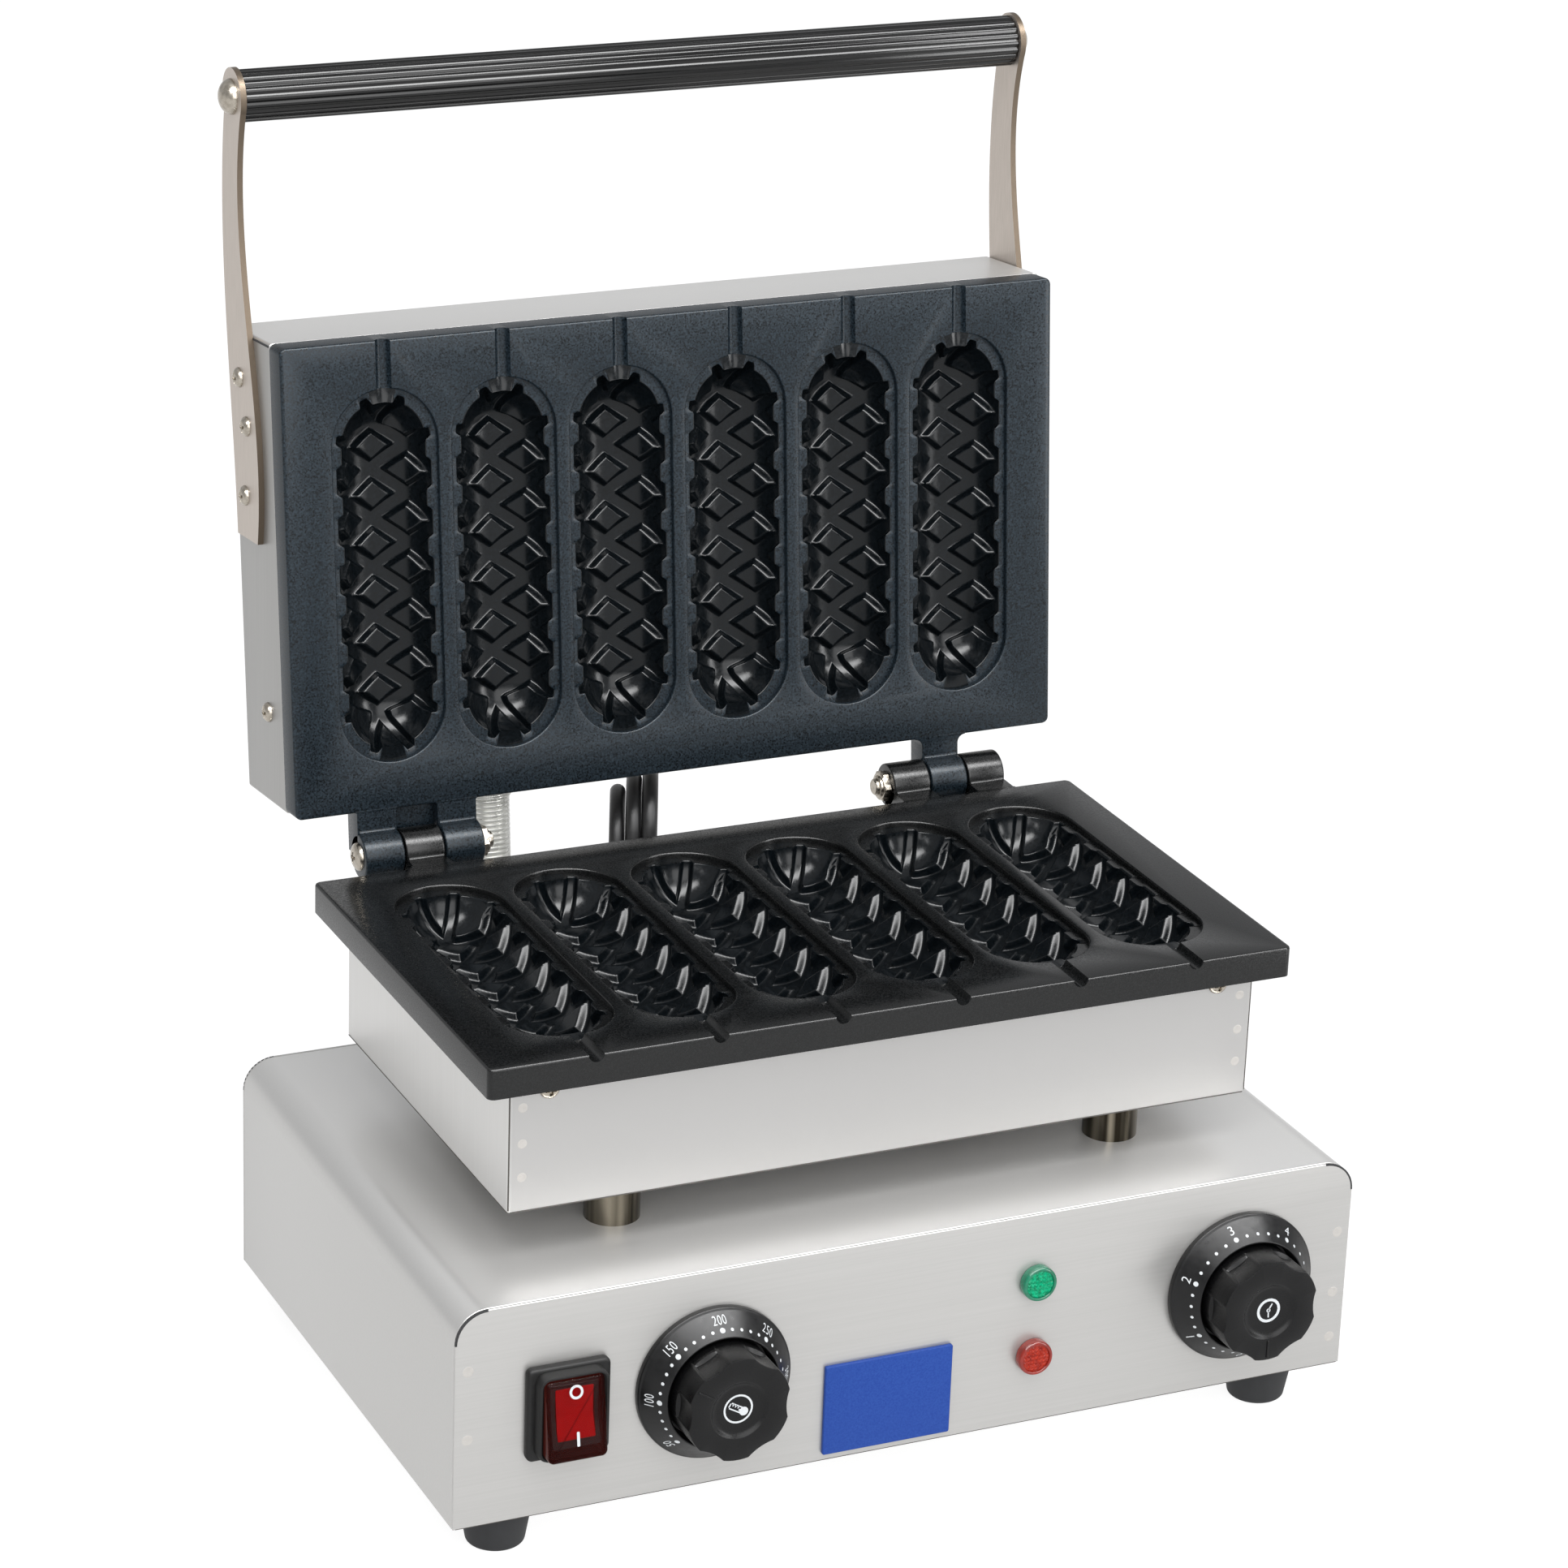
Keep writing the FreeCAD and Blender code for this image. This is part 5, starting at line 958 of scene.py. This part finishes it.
def make_fasteners():
    """Screws of arms, casing and plate rim, the handle's bolts, the hinge bolts and their nuts."""
    screws = [put(cross_head(), side_seat(s, PLATE_W / 2 + ARM_T, *at)) for s in (-1, 1) for at in ARM_SCREWS]
    piece("arm_screw_heads", join(*screws), NICKEL, "lid", ("arm_screws",))
    screws = [put(cross_head(), side_seat(s, PLATE_W / 2, *CASING_SCREW)) for s in (-1, 1)]
    piece("casing_screw_heads", join(*screws), NICKEL, "lid", ("casing_screws",))
    screws = [put(cross_head(), seat((sx * RIM_SCREW_X, sy * CASING_Y, RIM_SCREW_Z), -sy * X_AXIS, Z_AXIS,
                                     sy * Y_AXIS)) for sx in (-1, 1) for sy in (-1, 1)]
    piece("rim_screw_heads", join(*screws), NICKEL, "base", ("plate_screws",))
    dome = round_head(BOLT_HEAD_D, BOLT_HEAD_H)
    bolts = [put(dome, side_seat(s, PLATE_W / 2 + ARM_T, GRIP_UP, GRIP_BEHIND)) for s in (-1, 1)]
    piece("handle_bolt_heads", join(*bolts), NICKEL, "lid", ("handle_bolts",))
    reach = KNUCKLE_HALF + KNUCKLE_GAP + OUTER_KNUCKLE
    for side, body, name in ((-1, "lid", "left_hinge"), (1, "base", "right_hinge")):
        head = put(cross_head(12.4, 2.8), side_seat(side, HINGE_X + reach, 0, 0))
        piece(name + "_bolt_head", head, NICKEL, body, (name + "_bolt",))
        place = seat(HINGE + side * (HINGE_X - reach) * X_AXIS, LID_BEHIND, -side * LID_UP, -side * X_AXIS)
        nut = put(lock_nut(), place)
        piece(name + "_lock_nut", nut, NICKEL, body, (name + "_nut",), 25)


# Handle

FLUTE_COUNT = 20
FLUTE_DEPTH = 0.55


def make_handle():
    """Fluted sleeve: the radius falls by the flute's depth times 1 - |cos(n t / 2)|."""
    t = around(360)
    r = GRIP_R - FLUTE_DEPTH * (1 - np.abs(np.cos(FLUTE_COUNT / 2 * t)))
    outline = np.stack([r * np.cos(t), r * np.sin(t)], 1)
    sleeve = slab(outline, -PLATE_W / 2, PLATE_W / 2, 0.8)
    place = HINGE + GRIP_UP * LID_UP + GRIP_BEHIND * LID_BEHIND
    piece("handle_sleeve", put(sleeve, seat(place, LID_BEHIND, LID_UP, X_AXIS)), GRIP_PVC, "lid",
          ("handle_grip",), 60)


# Controls

DIAL_R = 33.2
DIAL_LIP_R = 24.6
DIAL_H = 12.0
DIAL_CUP_R = 23.6
DIAL_FLOOR = 2.8
CONE_R = 32.3
CONE_LOW = 3.3
KNOB_R = 22.3
KNOB_LOW = 3.4
KNOB_TOP = 27.2
KNOB_SHOULDER = 15.7
SCALLOP_R = 22.0
SCALLOP_DEPTH = 1.7
DISH_DEPTH = 1.6
INK_T = 0.12
INK_EDGE = 0.03
MARK_LIFT = 0.09
THERMOMETER_TURN = -30.0
DOTS_PER_MARK = 5
SMALL_DOT_R = 0.7


def knob_shape(pointer):
    """Knob: a round foot, then a grip whose radius is the smaller of a circle and six large scallops
    r = f cos a - sqrt(q^2 - (f sin a)^2), a dished face and a thin pointer ridge."""
    away = around(360) % (np.pi / 3) - np.pi / 6
    far = KNOB_R - SCALLOP_DEPTH + SCALLOP_R
    grip = np.minimum(KNOB_R, far * np.cos(away) - np.sqrt(SCALLOP_R ** 2 - (far * np.sin(away)) ** 2))
    top = KNOB_TOP
    floor = top - DISH_DEPTH
    foot = [(0, KNOB_LOW), (KNOB_R - 0.4, KNOB_LOW), (KNOB_R, KNOB_LOW + 0.4), (KNOB_R, KNOB_SHOULDER - 0.3)]
    side = [(0.4 * grip + 0.6 * KNOB_R, KNOB_SHOULDER), (grip, KNOB_SHOULDER + 0.5), (grip, top - 0.7),
            (grip - 0.2, top - 0.2), (grip - 0.7, top)]
    dish = [(12.7, top), (12.3, top - 0.15), (11.6, top - 0.8), (10.6, floor + 0.2), (9.2, floor), (0, floor)]
    ridge = shifted(slab(round_rect(8.0, 0.9, 0.4), top - 0.5, top + 0.5, 0.3), x=17.2)
    return spun(join(turned(foot + side + dish, 360), ridge), pointer)


def flat_ring(inner, outer, level):
    """Thin ring of ink."""
    high = level + INK_T
    return turned([(inner, level), (outer, level), (outer, high), (inner, high)], 48, True)


def dot(x, y, radius, level):
    """Thin disc of ink, set a little into the surface."""
    low, high = level - 0.05, level + 0.08
    return shifted(turned([(0, low), (radius, low), (radius, high), (0, high)], 16), x, y)


def polar(angle, radius):
    """Point at an angle in degrees and a radius."""
    return radius * np.cos(np.radians(angle)), radius * np.sin(np.radians(angle))


def radial_mark(text, height, width, angle, radius):
    """Lettering whose top points outwards at an angle of the dial."""
    return shifted(spun(lettering(text, height, width), angle - 90), *polar(angle, radius), MARK_LIFT)


def on_cone(shape):
    """Flat marks laid on the dial's cone: what lies past the lip's radius is measured down the slope."""
    points = shape[0].copy()
    r = np.hypot(points[:, 0], points[:, 1])
    slope = np.array([CONE_R - DIAL_LIP_R, DIAL_H - CONE_LOW])
    out, down = slope / np.linalg.norm(slope)
    points[:, :2] *= ((DIAL_LIP_R + (r - DIAL_LIP_R) * out) / r)[:, None]
    points[:, 2] += DIAL_H - (r - DIAL_LIP_R) * down
    return points, shape[1], shape[2]


def dial_cone():
    """Dial: a cone up to a narrow lip, and a cup inside it for the knob."""
    profile = [(0, 0), (DIAL_R, 0), (DIAL_R, 2.6), (CONE_R, CONE_LOW), (DIAL_LIP_R, DIAL_H),
               (DIAL_LIP_R - 0.5, DIAL_H), (DIAL_CUP_R, DIAL_H - 0.8), (DIAL_CUP_R, DIAL_FLOOR),
               (0, DIAL_FLOOR)]
    return turned(eased(profile, 0.35), 128)


def dial_marks(first, step, dot_at, big, numbers, height, width, number_at):
    """Dots, each fifth one big, and numbers by the big ones, clockwise from the first angle."""
    small_step = step / DOTS_PER_MARK
    dots = [dot(*polar(first - small_step * k, dot_at), big if k % DOTS_PER_MARK == 0 else SMALL_DOT_R, 0)
            for k in range((len(numbers) - 1) * DOTS_PER_MARK + 1)]
    text = [radial_mark(str(n), height, width, first - step * k, number_at) for k, n in enumerate(numbers)]
    return dots, text


def make_dials():
    """Dials with dots and numbers: 50 to 300 on the thermostat, 0 to 5 on the timer."""
    thermostat = dial_marks(226, 45, 27.9, 1.15, range(50, 301, 50), 4.2, 0.68, 32.2)
    timer = dial_marks(269, 54, 28.4, 1.1, range(6), 4.0, 1.05, 32.6)
    sets = (("thermostat", THERMOSTAT_AT, thermostat), ("timer", TIMER_AT, timer))
    for name, at, (dots, text) in sets:
        place = front_seat(at)
        cone = put(dial_cone(), place)
        piece(name + "_dial_cone", cone, DIAL_ENAMEL, "base", (name + "_dial",), 30)
        piece(name + "_dial_dots", put(on_cone(join(*dots)), place), WHITE_INK, "base")
        piece(name + "_dial_numbers", put(on_cone(join(*text)), place), WHITE_INK, "base", closed=False)


def bar(x0, y0, x1, y1, width, level):
    """Thin straight mark between two points."""
    length = np.hypot(x1 - x0, y1 - y0)
    angle = np.degrees(np.arctan2(y1 - y0, x1 - x0))
    line = slab(round_rect(length + width, width, 0.45 * width, 4), level, level + INK_T, INK_EDGE, 2)
    return shifted(spun(line, angle), (x0 + x1) / 2, (y0 + y1) / 2)


def make_knobs():
    """Knobs and their signs: a thermometer lying across a ring, and the two hands of a clock."""
    level = KNOB_TOP - DISH_DEPTH - 0.02
    scale = [bar(x, 1.2, x, 0.3, 0.45, level) for x in (-2.9, -1.6, -0.3)]
    tube_line = [bar(-3.7, 1.2, 1.6, 1.2, 0.55, level), bar(-3.7, -1.2, 1.6, -1.2, 0.55, level),
                 bar(-4.2, 0.7, -4.2, -0.7, 0.55, level), bar(0.8, -0.2, 2.6, -0.2, 0.9, level),
                 dot(2.8, 0, 1.9, level + 0.05)]
    bulb = join(flat_ring(5.5, 6.3, level), spun(join(*scale, *tube_line), THERMOMETER_TURN))
    clock = join(flat_ring(4.2, 5.4, level), flat_ring(0.4, 0.9, level), bar(0.3, 0.7, 1.5, 2.7, 0.6, level),
                 bar(0, -0.8, 0.1, -3.0, 0.6, level))
    sets = (("thermostat", THERMOSTAT_AT, 148.0, bulb), ("timer", TIMER_AT, 270.0, clock))
    for name, at, pointer, sign in sets:
        place = front_seat(at)
        body = name + "_control"
        knob = put(knob_shape(pointer), place)
        piece(name + "_knob_body", knob, PHENOLIC, body, (name + "_knob",), 30)
        piece(name + "_knob_sign", put(sign, place), WHITE_INK, body)


LENS_R = 6.0
LENS_H = 3.7
PYRAMID_W = 1.7
PYRAMID_H = 0.7
LAMP_RIM = ((5.9, 0), (7.6, 0), (7.6, 3.4), (7.2, 4.4), (6.2, 4.6), (5.9, 3.9))


def make_lamps():
    """Lamp: a clear tinted rim round a flat lens covered with small pyramids in rows."""
    rows = np.linspace(0, 1, 40)[:, None]
    t = around(120)
    r = LENS_R * rows
    a = (r * np.cos(t)) / PYRAMID_W
    b = (r * np.sin(t)) / PYRAMID_W
    pyramid = 1 - 2 * np.maximum(np.abs(a - np.round(a)), np.abs(b - np.round(b)))
    height = LENS_H + PYRAMID_H * pyramid * (1 - rows ** 12)
    lens = turned([*zip(r, height), (LENS_R, 1.0)], 120, caps=(-1,))
    rim = turned(eased(LAMP_RIM, 0.7, closed=True), 64, True)
    sets = (("green", GREEN_AT, GREEN_ACRYLIC, GREEN_RIM), ("red", RED_AT, RED_ACRYLIC, RED_RIM))
    for name, at, material, rim_material in sets:
        place = front_seat(at)
        piece(name + "_lamp", put(lens, place), material, "base", (name + "_lamp_lens",), 25)
        piece(name + "_lamp_rim", put(rim, place), rim_material, "base", ())


CAP_W = 25.4
CAP_L = 33.8
CAP_CORNER = 2.6
CAP_FLOOR = 5.0
CAP_H = 13.05
CAP_SLOPE = -5.5 / CAP_L
CAP_RIM = ((0, 2.2), (0.25, 1.1), (0.9, 0.35), (2.0, 0.0))
WALL_FACING = 0.6
ROCKER_PIVOT = 3.0
ROCKER_TILT = np.radians(-10.0)
ROCKER_SIDE = ((-13.3, 11.6), (-12.3, 3.0), (-3, 0.5), (3, 0.5), (12.3, 3.0), (13.3, 11.6), (0, 9.4))
ROCKER_HALF = 10.3
WINDOW_SIDE = ((-10.2, 11.3), (-10.2, 8.0), (11.6, 8.0), (11.6, 11.6), (0, 9.7))
WINDOW_HALF = 8.1


def cap_rings(inset):
    """Rings of the splash cap: upright walls, then a rounded rim under a face that slopes outwards
    towards its lower end."""
    outline = round_rect(CAP_W - 2 * inset, CAP_L - 2 * inset, CAP_CORNER - inset)
    rings = [np.column_stack([outline, np.full(len(outline), CAP_FLOOR)])]
    for draw, drop in CAP_RIM:
        flat = grown(outline, -draw)
        rings.append(np.column_stack([flat, CAP_H - inset + CAP_SLOPE * flat[:, 1] - drop]))
    return np.stack(rings)


def rocked(shape):
    """Shape turned about the rocker's cross pin to the photographed position."""
    c, s = np.cos(ROCKER_TILT), np.sin(ROCKER_TILT)
    points = shape[0] - [0, 0, ROCKER_PIVOT]
    turn = np.array([[1, 0, 0], [0, c, s], [0, -s, c]])
    return points @ turn + [0, 0, ROCKER_PIVOT], shape[1], shape[2]


def ring_of(outer, inner, low, high, ease):
    """Raised collar between two outlines of equal count, its top edges rounded."""
    shoulder = high - ease
    rims = [outer, outer, grown(outer, -0.3 * ease), grown(outer, -ease), grown(inner, ease), inner, inner]
    return stacked(rims, [low, shoulder, high - 0.3 * ease, high, high, shoulder, low], True)


def cap_shape():
    """Splash cap: outer and inner rings in one closed shell, with a flat face outside and one inside."""
    outer = cap_rings(0)
    shell = np.concatenate([outer, cap_rings(1.0)[::-1]])
    points, quads = surface(shell, True, True)[:2]
    top = len(outer) - 1
    cols = shell.shape[1]
    between = (quads[:, 0] // cols) == top
    return points, quads[~between], [np.arange(cols) + row * cols for row in (top, top + 1)]


def switch_marks():
    """The two usual marks, laid on the cap's sloping face."""
    stroke = slab(round_rect(1.2, 6.0, 0.4), 0, INK_T, INK_EDGE, 2)
    marks = join(shifted(flat_ring(1.9, 2.9, 0.0), y=11.6), shifted(stroke, y=-7.6))
    marks[0][:, 2] += CAP_H + 0.02 + CAP_SLOPE * marks[0][:, 1]
    return marks


def make_switch():
    """Rocker switch: frame with a collar, soft cap with two marks, rocker with a red window."""
    place = front_seat(SWITCH_AT)
    bezel = slab(round_rect(35.0, 40.5, 2.6), 0, 4.6, 1.4)
    collar = ring_of(round_rect(29.6, 37.6, 5.0), round_rect(25.2, 33.6, 2.4), 0, 10.0, 1.2)
    frame_shape = put(join(bezel, collar), place)
    piece("switch_frame", frame_shape, NYLON, "base", ("switch_housing",))
    boot = piece("switch_cap", put(cap_shape(), place), BOOT_PVC, None, ("switch_boot",))
    boot.data.materials.append(BOOT_WALL)
    for face in boot.data.polygons:
        face.material_index = int(abs(face.normal.y) < WALL_FACING)
    signs = piece("switch_marks", put(switch_marks(), place), WHITE_INK, None)
    for soft in (boot, signs):
        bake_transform(soft)
    sets = (("switch_rocker_body", ROCKER_SIDE, ROCKER_HALF, NYLON, ("switch_rocker",)),
            ("switch_rocker_window", WINDOW_SIDE, WINDOW_HALF, ROCKER_RED, ()))
    for name, side, half, material, replaced in sets:
        block = laid_along_x(slab(eased(side, 0.8, closed=True), -half, half, 0.5))
        piece(name, put(rocked(block), place), material, "rocker", replaced)


def make_badge():
    plate = put(slab(round_rect(BADGE_W, BADGE_H, 0.8, 4), 0, BADGE_T, 0.5), front_seat(BADGE_AT))
    piece("blue_front_plate", plate, BLUE_PLATE, "base", ("badge_plate",))


# Carried-over CAD nodes

NODE_FINISHES = {
    STAINLESS: ("rear_panel", "bottom_plate"),
    ARM_STEEL: ("handle_arm_left", "handle_arm_right"),
    POST_STEEL: ("support_posts",),
    NICKEL: ("foot_screws", "post_bolts", "thermostat_shaft", "timer_shaft",
             "handle_core", "conduit_base_fitting"),
    HEATER_STEEL: ("lower_heating_element", "upper_heating_element", "thermostat_bulb"),
    NYLON: ("thermostat_body", "timer_body", "lamp_barrels", "hank_tie"),
    CERAMIC: ("terminal_block",),
    CORD_PVC: ("power_plug", "cord_gland"),
}


def dress_nodes():
    """Finishes of the CAD nodes that are seen as they are."""
    for material, names in NODE_FINISHES.items():
        for name in names:
            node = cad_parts[name]
            node.data.materials.clear()
            node.data.materials.append(material)


# Studio

CAMERA_AT = (-0.851936, -1.787480, 1.037946)
CAMERA_RIGHT = (0.909744, -0.413706, 0.034845)
CAMERA_DOWN = (-0.121690, -0.345956, -0.930326)
CAMERA_AHEAD = (0.396936, 0.842117, -0.365075)
CAMERA_LENS = 118.88
LIGHT_AIM = np.array([0.0, 0.0, 0.2])
FLOOR_HALF = 40.0


def set_down(thing, right, up, back, at):
    """Place a camera or light by its own axes, in metres."""
    columns = np.array([right, up, back, at]).T
    thing.matrix_world = Matrix(np.vstack([columns, [0, 0, 0, 1]]).tolist())


def make_camera():
    """Camera at the photograph's angle."""
    data = bpy.data.cameras.new("studio_camera")
    data.sensor_width = 36.0
    data.lens = CAMERA_LENS
    data.clip_end = 50.0
    camera = placed("studio_camera", data)
    set_down(camera, CAMERA_RIGHT, -np.array(CAMERA_DOWN), -np.array(CAMERA_AHEAD), CAMERA_AT)
    bpy.context.scene.camera = camera


def softbox(name, at, width, height, power, diffuse=True):
    """Area light facing the maker; without diffuse it only shows as a reflection."""
    data = bpy.data.lights.new(name, "AREA")
    data.shape = "RECTANGLE"
    data.size = width
    data.size_y = height
    data.energy = power
    light = placed(name, data)
    light.visible_diffuse = diffuse
    back = np.array(at) - LIGHT_AIM
    back /= np.linalg.norm(back)
    right = np.cross(Z_AXIS, back)
    right /= np.linalg.norm(right)
    set_down(light, right, np.cross(back, right), back, at)


def make_studio():
    """Pale floor, even sky and soft boxes."""
    floor_mesh = bpy.data.meshes.new("floor")
    far = FLOOR_HALF
    corners = [(-far, -far, 0), (far, -far, 0), (far, far, 0), (-far, far, 0)]
    floor_mesh.from_pydata(corners, [], [(0, 1, 2, 3)])
    floor_mesh.materials.append(finish_of("lit_paper_sweep", "#808080", "#848484", 0.9, 40.0,
                                          Emission_Color=linear("#ffffff"), Emission_Strength=0.88,
                                          specular=0.0))
    placed("floor", floor_mesh)
    world = bpy.data.worlds.new("studio")
    bpy.context.scene.world = world
    world.use_nodes = True
    background = world.node_tree.nodes["Background"]
    background.inputs["Color"].default_value = linear("#f2f3f5")
    background.inputs["Strength"].default_value = 0.72
    softbox("overhead_sheen", (0.0, -1.0, 2.5), 5.0, 0.8, 200, False)
    softbox("overhead_box", (-0.2, -1.2, 2.3), 2.6, 1.2, 32)
    softbox("pad_glint", (1.8, -1.6, 0.75), 0.5, 1.4, 22, False)
    softbox("front_key", (-0.3, -2.5, 1.4), 2.6, 1.6, 48)
    bpy.context.scene.view_settings.view_transform = "Standard"


make_camera()
make_cord()
make_conduit()
make_plates()
make_panels()
make_joints()
make_welds()
make_feet()
make_casings()
make_fasteners()
make_handle()
make_dials()
make_knobs()
make_lamps()
make_switch()
make_badge()
dress_nodes()
make_studio()
